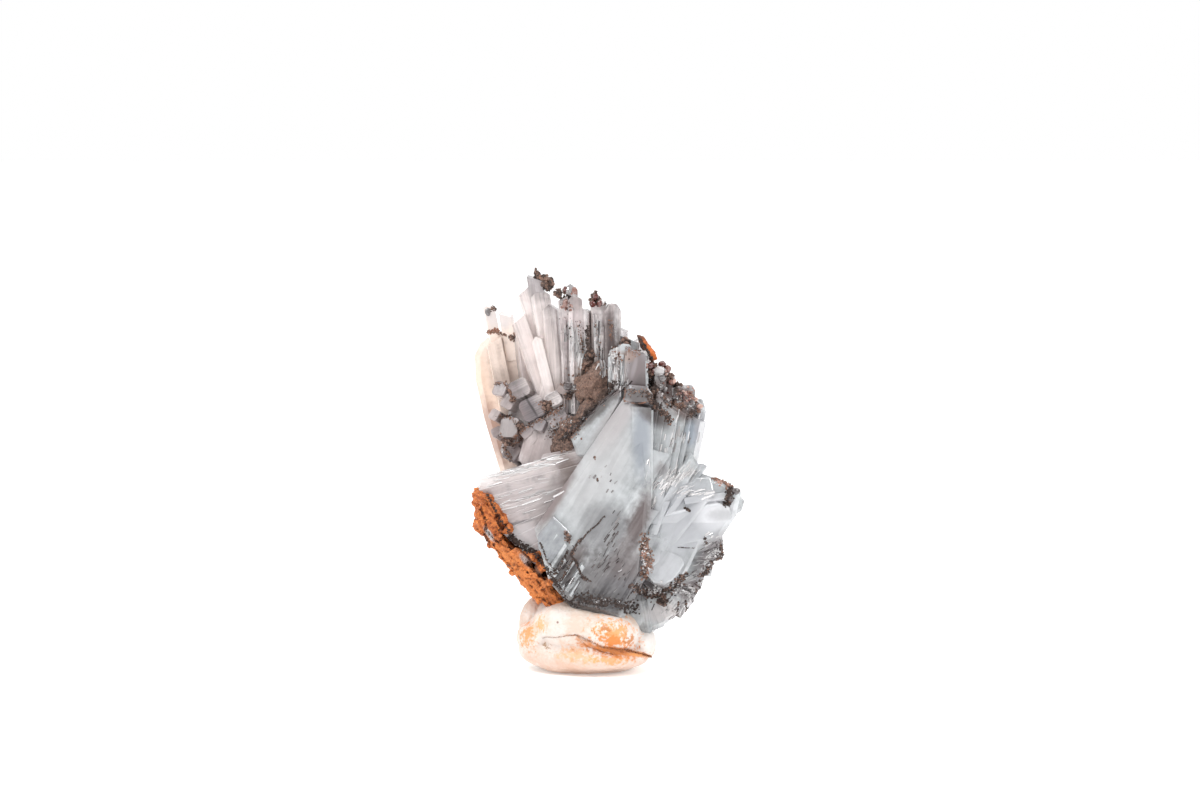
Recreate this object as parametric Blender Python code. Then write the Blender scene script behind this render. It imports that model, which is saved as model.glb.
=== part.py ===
"""Barite specimen: pale blue blades and colourless columns fanning up from a foot in a lump of putty.

Iron oxide fills the seam between the front and the back crystals, and orange limonite crusts the lower left.
Axes: +X right, +Y away from the front, +Z up. The origin is on the floor, under the middle of the putty.
"""

import math
import random
from collections import namedtuple

import bmesh
import bpy
from mathutils import Matrix, Vector, noise

# Driving dimensions. Places and sizes below are in millimetres, and MM turns them into metres.
MM = 0.001
PUTTY_WIDTH = 17.2
PUTTY_DEPTH = 15.0
PUTTY_HEIGHT = 9.0
FRONT_LEAN = 0.06  # how far the front blades lean back for each millimetre of height
GAP = 0.3  # clearance between neighbouring pieces
LUMP_ROUGHNESS = 0.3
PUTTY_FLAT = 0.84  # share of the half height at which the underside is flat
SMALLEST_EDGE = 0.01
FLAT_ANGLE = 0.8  # degrees under which two neighbouring faces are one

FRONT = Vector((0, -1, 0))

# How a crystal ends: for each end face, its tilts in degrees across the width and through the thickness.
CHISEL = ((38, 0), (-38, 0))
WEDGE = ((0, 40), (0, -40))
POINT = ((36, 8), (-30, 0), (0, 38), (0, -38))
SLANT_LEFT = ((-22, 6),)
SLANT_RIGHT = ((22, -6),)
BLUNT = ((5, 3), (42, 0), (-42, 0))
FLAT_END = ((6, -5),)
ROUNDED = ((8, 0), (-8, 0), (32, 0), (-32, 0), (56, 0), (-56, 0))

# A crystal is the space inside flat faces: (outward normal, distance) pairs in its own frame.
Crystal = namedtuple("Crystal", "faces frame reach")


# ---------------------------------------------------------------- crystals


def crystal_frame(middle, along, turn):
    """Z runs along the crystal, Y through its thickness. Its wide face looks to the front, turned by turn."""
    along = along.normalized()
    face = (FRONT - FRONT.dot(along) * along).normalized()
    face.rotate(Matrix.Rotation(math.radians(turn), 3, along))
    across = along.cross(face)
    turned = Matrix((across, -face, along)).transposed().to_4x4()
    return Matrix.Translation(middle) @ turned


def blade(foot, tip, width, thickness, turn=0, end=CHISEL, rim=0.0):
    """A long crystal from foot to tip. rim is the width of the flats along its four long edges."""
    foot, tip = Vector(foot), Vector(tip)
    length = (tip - foot).length
    faces = [(Vector((side, 0, 0)), width / 2) for side in (-1, 1)]
    faces += [(Vector((0, side, 0)), thickness / 2) for side in (-1, 1)]
    faces.append((Vector((0, 0, -1)), length / 2))
    for across, through in end:
        normal = Vector((math.tan(math.radians(across)), math.tan(math.radians(through)), 1))
        # Steep end faces start further in, so that the gentle ones keep a flat of their own at the tip.
        start = length / 2 + (0.28 * width if abs(across) > 30 and len(end) > 2 else 0)
        faces.append((normal.normalized(), start / normal.length))
    if rim:
        for x in (-1, 1):
            for y in (-1, 1):
                flat = (width + thickness) / 2 - rim
                faces.append((Vector((x, y, 0)).normalized(), flat / math.sqrt(2)))
    return Crystal(faces, crystal_frame((foot + tip) / 2, tip - foot, turn), length + width)


def plate(outline, depth, thickness, lean=0.0, rim=0.6, turn=0.0):
    """A flat crystal seen face on. outline is a convex ring of (x, z) points, anticlockwise."""
    ring = [Vector((x, 0, z)) for x, z in outline]
    middle = sum(ring, Vector()) / len(ring)
    faces = [(Vector((0, side, 0)), thickness / 2) for side in (-1, 1)]
    for here, after in zip(ring, ring[1:] + ring[:1]):
        side = after - here
        outward = Vector((side.z, 0, -side.x)).normalized()
        reach = outward.dot(here - middle)
        faces.append((outward, reach))
        bevel = (reach + thickness / 2 - rim) / math.sqrt(2)
        for y in (-1, 1):
            faces.append((Vector((outward.x, y, outward.z)).normalized(), bevel))
    upright = Matrix.Rotation(-math.atan(lean), 4, "X") @ Matrix.Rotation(math.radians(turn), 4, "Z")
    frame = Matrix.Translation((middle.x, depth, middle.z)) @ upright
    return Crystal(faces, frame, max((p - middle).length for p in ring) + thickness)


def sheaf(feet, tips, count, width, thickness, seed, spread=0.5, turn=0, end=CHISEL, rim=0.0):
    """Blades side by side, between the first and last of feet and tips, shifted at random by spread."""
    chance = random.Random(seed)
    first_foot, last_foot = map(Vector, feet)
    first_tip, last_tip = map(Vector, tips)
    made = []
    for place in range(count):
        share = place / max(count - 1, 1)
        foot = first_foot.lerp(last_foot, share)
        tip = first_tip.lerp(last_tip, share)
        along = (tip - foot).normalized()
        foot += along * chance.uniform(-spread, spread)
        tip += along * chance.uniform(-2.2, 1.0) * spread
        tip.y += chance.uniform(-0.4, 0.4) * spread
        made.append(
            blade(
                foot,
                tip,
                width * chance.uniform(0.75, 1.25),
                thickness * chance.uniform(0.8, 1.2),
                turn + chance.uniform(-9, 9),
                end,
                rim,
            )
        )
    return made


# ---------------------------------------------------------------- meshes


def close_holes(mesh):
    bmesh.ops.holes_fill(mesh, edges=[edge for edge in mesh.edges if edge.is_boundary], sides=0)


def slice_off(mesh, normal, distance):
    """Cuts away what lies beyond a plane and closes the cut with a flat face."""
    everything = mesh.verts[:] + mesh.edges[:] + mesh.faces[:]
    bmesh.ops.bisect_plane(
        mesh, geom=everything, plane_co=normal * distance, plane_no=normal, clear_outer=True, dist=1e-5
    )
    close_holes(mesh)


def crystal_mesh(crystal, grow=0.0):
    """The crystal as a mesh in metres, with every face moved out by grow millimetres."""
    mesh = bmesh.new()
    bmesh.ops.create_cube(mesh, size=3 * crystal.reach)
    for normal, distance in crystal.faces:
        slice_off(mesh, normal, distance + grow)
    bmesh.ops.recalc_face_normals(mesh, faces=mesh.faces[:])
    mesh.transform(Matrix.Scale(MM, 4) @ crystal.frame)
    return mesh


def lump_mesh(centre, radii, seed, detail=2, grow=0.0):
    """A rough lump: a ball pushed in and out by smooth noise and stretched to its three radii."""
    mesh = bmesh.new()
    bmesh.ops.create_icosphere(mesh, subdivisions=detail, radius=1)
    for vert in mesh.verts:
        ray = vert.co.normalized()
        broad = noise.noise(ray * 1.7 + Vector((seed, 0, 0)))
        fine = noise.noise(ray * 4 + Vector((0, seed, 0)))
        size = 1 + LUMP_ROUGHNESS * (broad + 0.5 * fine)
        vert.co = [a * (radius * size + grow) for a, radius in zip(ray, radii)]
    bmesh.ops.translate(mesh, vec=centre, verts=mesh.verts)
    bmesh.ops.scale(mesh, vec=(MM, MM, MM), verts=mesh.verts)
    return mesh


def chunk_mesh(centre, radii, slope, seed, grow=0.0):
    """An angular chunk of crust: a box cut by seeded planes, its long side turned by slope degrees."""
    chance = random.Random(seed)
    mesh = bmesh.new()
    bmesh.ops.create_cube(mesh, size=2)
    for _ in range(4):
        normal = Vector([chance.uniform(-1, 1) for _ in range(3)]).normalized()
        slice_off(mesh, normal, chance.uniform(0.84, 1.02))
    bmesh.ops.scale(mesh, vec=[radius + grow for radius in radii], verts=mesh.verts)
    turn = Matrix.Rotation(math.radians(slope + chance.uniform(-14, 14)), 4, "Y")
    roll = Matrix.Rotation(chance.uniform(-0.4, 0.4), 4, "X")
    mesh.transform(Matrix.Scale(MM, 4) @ Matrix.Translation(centre) @ turn @ roll)
    return mesh


# ---------------------------------------------------------------- objects


def clear_scene():
    for obj in list(bpy.data.objects):
        bpy.data.objects.remove(obj)


def material(name, colour, roughness, metallic=0.0):
    made = bpy.data.materials.new(name)
    made.use_nodes = True
    shader = made.node_tree.nodes["Principled BSDF"]
    shader.inputs["Base Color"].default_value = (*colour, 1)
    shader.inputs["Roughness"].default_value = roughness
    shader.inputs["Metallic"].default_value = metallic
    return made


def object_from(mesh, name, collection):
    data = bpy.data.meshes.new(name)
    mesh.to_mesh(data)
    mesh.free()
    obj = bpy.data.objects.new(name, data)
    collection.objects.link(obj)
    return obj


def boolean(target, tool, operation):
    """Joins or cuts target with tool, and leaves the result as target's own mesh."""
    step = target.modifiers.new(operation.title(), "BOOLEAN")
    step.operation = operation
    step.solver = "EXACT"
    step.object = tool
    graph = bpy.context.evaluated_depsgraph_get()
    done = bpy.data.meshes.new_from_object(target.evaluated_get(graph))
    target.modifiers.clear()
    old, target.data = target.data, done
    bpy.data.meshes.remove(old)


def joined(meshes, name, collection):
    """One solid from overlapping meshes."""
    whole = object_from(meshes[0], name, collection)
    for mesh in meshes[1:]:
        tool = object_from(mesh, "tool", collection)
        boolean(whole, tool, "UNION")
        bpy.data.objects.remove(tool)
    return whole


def tidy(obj):
    """Merges flat neighbours and keeps the largest body, because a cut can leave loose chips."""
    mesh = bmesh.new()
    mesh.from_mesh(obj.data)
    bmesh.ops.remove_doubles(mesh, verts=mesh.verts, dist=SMALLEST_EDGE * MM)
    bmesh.ops.dissolve_degenerate(mesh, edges=mesh.edges, dist=SMALLEST_EDGE * MM)
    bmesh.ops.dissolve_limit(mesh, angle_limit=math.radians(FLAT_ANGLE), verts=mesh.verts, edges=mesh.edges)
    bmesh.ops.triangulate(mesh, faces=mesh.faces[:])
    bodies, left = [], set(mesh.faces)
    while left:
        body, reached = [], [left.pop()]
        while reached:
            face = reached.pop()
            body.append(face)
            sound = [edge for edge in face.edges if len(edge.link_faces) == 2]
            near = {other for edge in sound for other in edge.link_faces} & left
            left -= near
            reached.extend(near)
        bodies.append(body)
    bodies.sort(key=len)
    for body in bodies[:-1]:
        bmesh.ops.delete(mesh, geom=body, context="FACES")
    close_holes(mesh)
    mesh.to_mesh(obj.data)
    mesh.free()


def finish(obj, name, look, collection):
    tidy(obj)
    obj.name = obj.data.name = name
    obj.data.materials.clear()
    obj.data.materials.append(look)
    for other in list(obj.users_collection):
        other.objects.unlink(obj)
    collection.objects.link(obj)
    return obj


# ---------------------------------------------------------------- the barite


def leaned(x, z, depth):
    """A point on the front blades' leaning face, depth millimetres behind it."""
    return (x, depth + FRONT_LEAN * (z - 8), z)


def front_crystals():
    """The large blue-grey plate, the laths on it, the upright block beside it and the fan to its right."""
    outline = [(-1.5, 8.0), (4.5, 6.6), (7.4, 12.0), (8.3, 22.0), (8.0, 33.6), (5.2, 35.2)]
    outline += [(-6.4, 18.2), (-4.6, 11.6)]
    made = [
        plate(
            outline,
            depth=-2.6,
            thickness=4.2,
            lean=FRONT_LEAN,
            rim=1.0,
        )
    ]
    # Thin laths that stand a little proud of the plate's face, all along its growth direction.
    grain = Vector((0.55, 0.0, 0.835))
    for x, z, length, width, rise in (
        (-3.6, 17.2, 17.0, 2.4, 0.25),
        (-0.6, 13.2, 17.5, 2.8, 0.35),
        (1.9, 11.5, 11.0, 2.2, 0.6),
        (4.1, 10.2, 8.4, 2.6, 0.45),
        (3.4, 21.0, 8.5, 1.5, 0.5),
    ):
        foot = Vector(leaned(x, z, -4.1 - rise))
        tip = foot + grain * length + Vector((0, FRONT_LEAN * length * grain.z, 0))
        made.append(blade(foot, tip, width, 1.6, end=SLANT_LEFT))
    # Broken lath ends that step down the lower left corner.
    for x, z, length, width in (
        (-5.8, 15.5, 5.8, 1.5),
        (-5.1, 13.2, 6.0, 1.0),
        (-4.3, 12.0, 5.4, 0.9),
        (-3.5, 10.8, 6.6, 1.0),
        (-2.6, 10.0, 6.0, 0.9),
        (-1.5, 9.0, 7.6, 1.3),
    ):
        foot = Vector(leaned(x, z, -4.3))
        made.append(blade(foot, foot + grain * length, width, 2.0, turn=14, end=SLANT_RIGHT))
    # The bluish upright lath near the plate's top.
    made.append(blade(leaned(6.5, 22.0, -4.2), leaned(6.8, 33.2, -4.2), 2.4, 1.6, end=BLUNT))
    made += upper_columns()
    made += right_block()
    made += right_fan()
    made += lower_right_blades()
    return made


def upper_columns():
    """The clear prisms that stand on the plate's upper corner, with slimmer ones behind."""
    return [
        blade((3.9, 0.2, 30.0), (3.7, 0.6, 40.4), 1.5, 1.8, end=SLANT_LEFT),
        blade((4.9, -0.2, 30.0), (4.8, 0.2, 41.0), 1.4, 1.9, turn=8, end=BLUNT),
        blade((6.4, -0.5, 29.0), (6.4, 0.1, 40.0), 2.6, 2.4, turn=-6, end=BLUNT, rim=0.3),
        blade((5.6, 2.0, 30.0), (5.5, 2.8, 41.4), 1.9, 1.8, turn=20, end=SLANT_RIGHT),
        blade((7.4, 1.8, 30.0), (7.8, 2.6, 38.6), 1.6, 1.6, turn=-14),
    ]


def right_block():
    """The upright striated block right of the plate, topped by short stubs."""
    made = sheaf(
        feet=((6.0, -2.6, 17.5), (11.6, -1.6, 21.5)),
        tips=((8.9, -1.4, 35.0), (13.9, 0.2, 32.8)),
        count=6,
        width=1.8,
        thickness=3.2,
        seed=4,
        spread=0.5,
        turn=-12,
        end=SLANT_RIGHT,
    )
    made += sheaf(
        feet=((7.0, 1.2, 18.0), (12.0, 2.0, 21.0)),
        tips=((8.6, 2.2, 36.4), (13.4, 3.0, 33.6)),
        count=4,
        width=2.4,
        thickness=3.4,
        seed=9,
        spread=0.6,
        turn=16,
        end=WEDGE,
    )
    made += [
        blade((9.0, 0.0, 31.0), (9.2, 0.4, 38.0), 1.5, 1.5, turn=12, end=BLUNT),
        blade((10.3, 0.6, 31.0), (10.5, 1.2, 37.0), 1.2, 1.4, turn=-18, end=WEDGE),
        blade((11.4, -0.3, 30.0), (11.6, 0.0, 35.8), 1.1, 1.3, turn=14, end=CHISEL),
        blade((12.5, -0.2, 30.0), (12.9, 0.2, 35.9), 1.5, 1.5, turn=6, end=ROUNDED),
        blade((13.3, 0.6, 28.0), (13.9, 1.0, 33.9), 1.3, 1.5, turn=-10),
    ]
    return made


def right_fan():
    """Milky blades that spread to the right from the plate's lower edge."""
    return [
        plate(
            [(8.2, 14.6), (16.6, 16.6), (18.7, 19.6), (19.4, 22.6), (17.0, 24.1), (14.0, 25.0), (8.6, 22.6)],
            depth=-1.6,
            thickness=2.6,
            lean=0.12,
            rim=0.7,
            turn=10,
        ),
        blade((8.6, -3.2, 15.4), (15.6, -2.0, 24.4), 3.2, 2.0, turn=-14, end=CHISEL, rim=0.3),
        blade((9.2, -2.8, 18.6), (17.9, -1.6, 20.4), 3.4, 2.4, turn=12, end=ROUNDED, rim=0.4),
        blade((9.0, -2.2, 16.8), (16.9, -0.4, 16.9), 3.6, 2.4, turn=18, end=CHISEL, rim=0.4),
        # The rounded pale blade that lies in front and points down to the left.
        blade((14.4, -2.9, 22.8), (8.9, -4.6, 11.3), 4.6, 2.2, turn=-8, end=ROUNDED, rim=0.5),
        blade((11.6, -3.6, 22.6), (7.4, -4.7, 13.6), 3.2, 1.8, turn=6, end=ROUNDED, rim=0.3),
        blade((9.4, -3.0, 20.8), (13.4, -2.2, 27.0), 1.6, 1.6, turn=20, end=SLANT_RIGHT),
        blade((10.8, -2.6, 20.2), (14.7, -2.0, 26.2), 1.0, 1.0, turn=-10, end=POINT),
        blade((12.9, -0.4, 18.0), (19.5, 0.6, 21.8), 2.4, 2.2, turn=30, end=CHISEL),
    ]


def lower_right_blades():
    """Grey blades that radiate down and right from the foot of the plate."""
    root = Vector((4.6, 0.8, 15.2))
    made = []
    for place, (x, z) in enumerate(
        ((17.2, 15.6), (16.5, 13.4), (15.0, 11.7), (14.0, 9.6), (12.8, 7.7), (11.0, 6.4), (8.6, 5.0))
    ):
        side = 1 if place % 2 else -1
        foot = root + Vector((0.17 * place, 0.2 * side, -0.23 * place))
        tip = (x, 0.9 + 0.5 * side, z)
        made.append(blade(foot, tip, 3.0, 3.4 + 0.4 * side, turn=12 * side))
    made += [
        blade((3.0, 0.4, 17.0), (4.4, 0.2, 5.4), 6.4, 5.0, turn=-8, end=BLUNT, rim=0.6),
        blade((1.0, 0.2, 16.0), (-0.4, 0.4, 6.4), 5.0, 4.6, turn=12, end=BLUNT, rim=0.5),
    ]
    return made


def skyline_columns():
    """The row of colourless columns, from the left."""
    return [
        blade((-2.8, 7.4, 33.0), (-7.6, 8.8, 47.2), 2.4, 2.0, turn=-10, end=SLANT_LEFT, rim=0.3),
        blade((-4.4, 6.4, 31.0), (-8.6, 7.2, 43.6), 1.8, 1.7, turn=14, end=SLANT_LEFT),
        blade((-3.6, 5.2, 31.0), (-6.2, 5.9, 41.6), 1.4, 1.6, turn=-12),
        blade((-3.4, 6.6, 33.0), (-6.1, 7.8, 47.8), 2.6, 2.2, turn=8, end=BLUNT, rim=0.3),
        blade((-3.6, 5.6, 33.0), (-4.5, 6.6, 45.6), 2.0, 1.8, turn=-14, rim=0.2),
        blade((-2.0, 4.2, 32.0), (-2.8, 4.6, 46.4), 1.3, 1.7, turn=-8, end=SLANT_LEFT),
        blade((-0.9, 3.6, 31.0), (-1.5, 4.2, 46.6), 1.8, 1.9, turn=6, end=BLUNT),
        blade((0.4, 3.6, 31.0), (-0.1, 4.1, 45.2), 1.3, 1.7, turn=-16),
        blade((1.6, 3.6, 31.0), (1.5, 4.2, 46.2), 1.9, 1.7, turn=4, end=WEDGE),
        blade((3.3, 2.6, 31.0), (3.3, 3.2, 45.9), 2.1, 1.8, turn=8, end=ROUNDED, rim=0.25),
        blade((4.6, 3.6, 31.0), (4.6, 4.2, 42.6), 1.3, 1.6, turn=-6, end=SLANT_RIGHT),
    ]


def stepped_blocks():
    """Blocky crystals with flat ends that step down below the columns."""
    made = []
    for x, y, z, size, turn in (
        (-9.6, 6.8, 35.8, 2.6, 24),
        (-11.3, 7.2, 33.8, 2.3, -14),
        (-6.6, 4.6, 33.6, 2.8, -18),
        (-8.6, 5.0, 31.9, 2.1, 12),
        (-10.2, 5.4, 30.2, 2.4, 30),
        (-11.2, 6.6, 28.4, 2.0, -22),
        (-9.6, 5.8, 26.8, 2.0, 14),
        (-4.1, 3.4, 34.8, 2.0, -24),
        (-2.3, 2.6, 36.0, 1.6, 10),
        (-2.4, 2.6, 33.6, 1.6, 16),
        (-4.2, 2.8, 31.8, 2.3, -10),
        (-6.2, 3.4, 30.0, 2.0, 20),
        (-0.8, 1.8, 32.4, 1.4, 28),
        (-2.4, 2.0, 29.8, 1.6, -16),
        (-7.6, 4.2, 27.8, 2.0, 8),
    ):
        foot = Vector((x + 1.9, y + 4.2, z - 1.6))
        made.append(blade(foot, (x, y, z), size, size * 0.9, turn=turn, end=FLAT_END))
    return made


def back_crystals():
    """The skyline, the blocks below it, the milky body that carries them and the blades of the rear."""
    made = skyline_columns()
    # A second row behind the skyline.
    made += sheaf(
        feet=((-5.0, 9.6, 24.0), (5.5, 6.4, 24.0)),
        tips=((-8.2, 11.0, 42.0), (6.8, 7.8, 40.2)),
        count=6,
        width=2.9,
        thickness=2.4,
        seed=21,
        spread=1.2,
        turn=12,
    )
    made += [
        blade((-2.6, 6.8, 35.4), (-5.9, 4.4, 24.4), 5.6, 4.2, turn=14, end=BLUNT, rim=0.6),
        blade((-0.6, 6.6, 34.6), (-2.4, 5.0, 22.0), 5.6, 4.6, turn=-8, end=BLUNT, rim=0.6),
        blade((-6.6, 8.8, 35.0), (-8.6, 7.2, 25.6), 4.6, 3.4, turn=20, end=BLUNT, rim=0.5),
    ]
    made += stepped_blocks()
    # Broad blades of the rear, fanning from the foot.
    for place, (across, height, width, turn) in enumerate((
        (-8.6, 25.0, 5.0, 18),
        (-3.2, 33.0, 5.4, -12),
        (2.6, 36.0, 5.2, 10),
        (8.2, 33.4, 4.6, -16),
        (12.4, 26.4, 4.0, 14),
        (14.0, 19.6, 3.6, -8),
    )):
        foot = (1.2 + 0.19 * place, 3.6, 10.0 + 0.13 * place)
        tip = (across, 9.6 - 0.12 * abs(across), height)
        made.append(blade(foot, tip, width, 2.8, turn=turn))
    return made


def left_crystals():
    """Blades that lie almost level and fan out to the left, their ends stepping down to the crust."""
    made = []
    for (right_x, right_z), (left_x, left_z), width, turn in (
        ((-1.6, 25.9), (-13.3, 23.2), 2.3, 10),
        ((-1.8, 24.5), (-13.0, 21.6), 1.9, -8),
        ((-2.2, 23.3), (-12.2, 20.4), 1.8, 14),
        ((-2.8, 22.2), (-11.2, 19.2), 1.7, -10),
        ((-3.2, 21.0), (-10.3, 18.0), 1.8, 8),
        ((-3.6, 19.7), (-9.6, 16.9), 1.7, -12),
        ((-3.8, 18.2), (-8.4, 15.8), 1.8, 6),
        ((-3.6, 16.6), (-7.2, 14.2), 2.0, -8),
    ):
        near_tip = (left_x, 0.2 + 0.18 * (left_z - 14), left_z)
        far_tip = (left_x + 1.0, 4.8, left_z - 0.3)
        far_foot = (right_x, 4.6, right_z - 0.6)
        made.append(blade((right_x, 1.2, right_z), near_tip, width, 4.6, turn, SLANT_LEFT))
        made.append(blade(far_foot, far_tip, width + 0.5, 4.0, -turn, SLANT_RIGHT))
    return made


def cream_crystals():
    """The broad cream plate at the far left, with thinner leaves against it and two stubs on its top."""
    outline = [(-4.0, 13.0), (-1.5, 14.0), (-6.6, 34.0), (-8.6, 41.2), (-11.6, 41.9)]
    outline += [(-13.6, 40.4), (-14.4, 38.8), (-14.2, 35.4), (-13.1, 30.6), (-10.9, 23.4)]
    return [
        plate(outline, depth=11.3, thickness=2.4, lean=0.16, rim=0.8, turn=-8),
        blade((-4.6, 10.8, 17.0), (-11.0, 13.9, 40.0), 4.2, 1.8, turn=-14, rim=0.4),
        blade((-8.6, 9.8, 25.0), (-11.9, 11.6, 40.4), 2.0, 1.6, turn=6, end=SLANT_LEFT),
        blade((-11.2, 12.2, 38.0), (-12.6, 12.0, 45.0), 1.4, 1.3, turn=10, end=BLUNT),
        blade((-9.4, 12.2, 38.0), (-10.3, 12.0, 44.0), 1.5, 1.3, turn=-12, end=SLANT_RIGHT),
    ]


# ---------------------------------------------------------------- oxide, crust and putty


# Small dark lumps that fuse with the crystals that they sit on: centre and radius.
CAPS = {
    "front_blades": (
        ((4.9, 0.6, 41.2), 0.9),
        ((3.6, 0.8, 40.5), 0.7),
        ((9.2, 0.9, 38.3), 1.0),
        ((10.4, 0.9, 36.9), 1.1),
        ((11.6, 0.8, 35.9), 0.9),
        ((12.9, 0.9, 35.4), 0.9),
        ((13.9, 0.8, 33.8), 0.9),
        ((8.4, -0.9, 35.2), 1.1),
        ((10.0, -0.9, 33.4), 1.1),
        ((18.7, -0.6, 22.5), 0.9),
        ((17.8, -0.9, 23.4), 0.8),
        ((6.6, -4.6, 16.0), 1.0),
        ((7.4, -4.2, 12.6), 1.1),
        ((10.2, -2.4, 11.2), 1.2),
        ((9.6, -1.6, 9.0), 1.2),
    ),
    "back_blades": (
        ((-6.3, 7.7, 48.2), 1.1),
        ((-5.1, 7.4, 48.6), 1.1),
        ((-6.1, 7.6, 49.6), 0.7),
        ((-3.4, 4.6, 46.9), 0.7),
        ((-2.0, 4.4, 47.2), 1.1),
        ((-1.0, 4.2, 46.5), 0.9),
        ((1.3, 4.1, 46.6), 0.9),
        ((5.0, 4.2, 42.0), 0.9),
        ((0.6, 2.8, 40.2), 1.1),
        ((0.2, 2.6, 38.2), 1.2),
        ((-9.0, 5.4, 33.8), 1.2),
        ((-11.2, 5.8, 31.4), 1.1),
        ((-8.2, 4.2, 29.8), 1.3),
        ((-9.6, 4.8, 28.4), 1.2),
        ((-5.0, 3.2, 32.8), 1.2),
        ((-2.9, 2.4, 34.8), 1.1),
    ),
    "cream_blade": (
        ((-12.6, 11.9, 45.0), 0.9),
        ((-11.8, 12.2, 42.0), 0.8),
        ((-9.0, 12.0, 41.2), 0.9),
    ),
}


def oxide_lumps():
    """The oxide seam, from the foot up behind the front plate to its upper left edge."""
    seam = (
        ((0.8, 2.0, 21.4), (4.6, 2.4, 6.4)),
        ((-2.2, 1.4, 27.8), (2.6, 1.8, 2.4)),
        ((-0.6, 1.2, 30.0), (2.6, 1.9, 2.0)),
        ((1.0, 1.2, 32.0), (2.4, 1.9, 2.0)),
        ((2.6, 1.3, 34.0), (2.2, 1.8, 1.8)),
        ((0.6, 1.9, 35.4), (2.2, 1.6, 2.0)),
        ((1.8, 1.7, 37.0), (1.8, 1.5, 1.8)),
    )
    return [(centre, radii, 31 + place) for place, (centre, radii) in enumerate(seam)]


# The crust's course down the lower left side: x, z, half width and slope of its long side in degrees.
CRUST = (
    (-12.9, 22.0, 0.8, 6),
    (-12.7, 20.0, 1.1, 0),
    (-12.0, 17.9, 1.3, 24),
    (-10.7, 16.0, 1.4, 38),
    (-9.2, 14.2, 1.5, 40),
    (-7.8, 12.4, 1.6, 42),
    (-6.1, 10.8, 1.5, 46),
    (-4.2, 9.5, 1.2, 58),
)


def crust_chunks():
    """Angular chunks along the crust's course, in a front row and a back row."""
    chunks = []
    for place, (x, z, half, slope) in enumerate(CRUST):
        for row, y in enumerate((-0.6, 3.6)):
            shift = 0.3 * math.sin(2.1 * place + 1.7 * row)
            centre = (x + shift, y + 0.2 * half, z + 0.25 * math.cos(3 * place + row))
            chunks.append((centre, (half, 2.7, 1.75), -slope, 70 + 2 * place + row))
    return chunks


def splinter_chunks():
    """A sliver of limonite that stands on the crust over the right block, leaning left."""
    foot, tip = Vector((8.5, 0.7, 38.9)), Vector((6.9, 0.5, 41.6))
    slope = -math.degrees(math.atan2(foot.x - tip.x, tip.z - foot.z))
    return [
        (foot.lerp(tip, 0.15), (0.55, 0.6, 0.9), slope, 7),
        (foot.lerp(tip, 0.55), (0.5, 0.55, 1.1), slope, 8),
        (foot.lerp(tip, 0.95), (0.4, 0.45, 0.8), slope, 9),
    ]


def putty_mesh():
    """A kneaded lump: flat underneath, a hump at the left, a dip at the right and a fold across its front."""
    mesh = bmesh.new()
    bmesh.ops.create_uvsphere(mesh, u_segments=26, v_segments=13, radius=1)
    half_height = PUTTY_HEIGHT / (1 + PUTTY_FLAT)
    for vert in mesh.verts:
        across, back, up = vert.co.normalized()
        # A squarish plan and section: this power rounds the lump off less than a ball's.
        power = 2.6
        stretch = (abs(across) ** power + abs(back) ** power + abs(up) ** power) ** (-1 / power)
        x = across * stretch * PUTTY_WIDTH / 2
        y = back * stretch * PUTTY_DEPTH / 2
        z = up * stretch * half_height
        hump = math.exp(-(((x + 3.0) / 5.0) ** 2))
        dip = math.exp(-(((x - 7.4) / 3.0) ** 2))
        if z > 0:
            z *= 0.86 + 0.14 * hump - 0.5 * dip
        # The fold: a crease that falls from left to right across the front.
        crease = 0.1 - 0.17 * (x + 5)
        if y < 0:
            y += 0.6 * math.exp(-(((z - crease) / 0.8) ** 2)) * min(1, max(0, 8.4 - abs(x)) / 2)
        z = max(z, -PUTTY_FLAT * half_height) + PUTTY_FLAT * half_height
        wave = 0.35 * noise.noise(Vector((x, y, z)) * 0.28)
        vert.co = Vector((x * (1 + 0.05 * wave) + wave, y + wave, z * (1 + 0.1 * wave)))
    bmesh.ops.scale(mesh, vec=(MM, MM, MM), verts=mesh.verts)
    return mesh


# ---------------------------------------------------------------- assembly


def clearance(meshes, tools):
    """The room round a finished piece, as one cutter for the pieces that are made after it."""
    cutter = joined(meshes, "clearance", tools)
    cutter.hide_render = True
    cutter.display_type = "WIRE"
    return cutter


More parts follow.
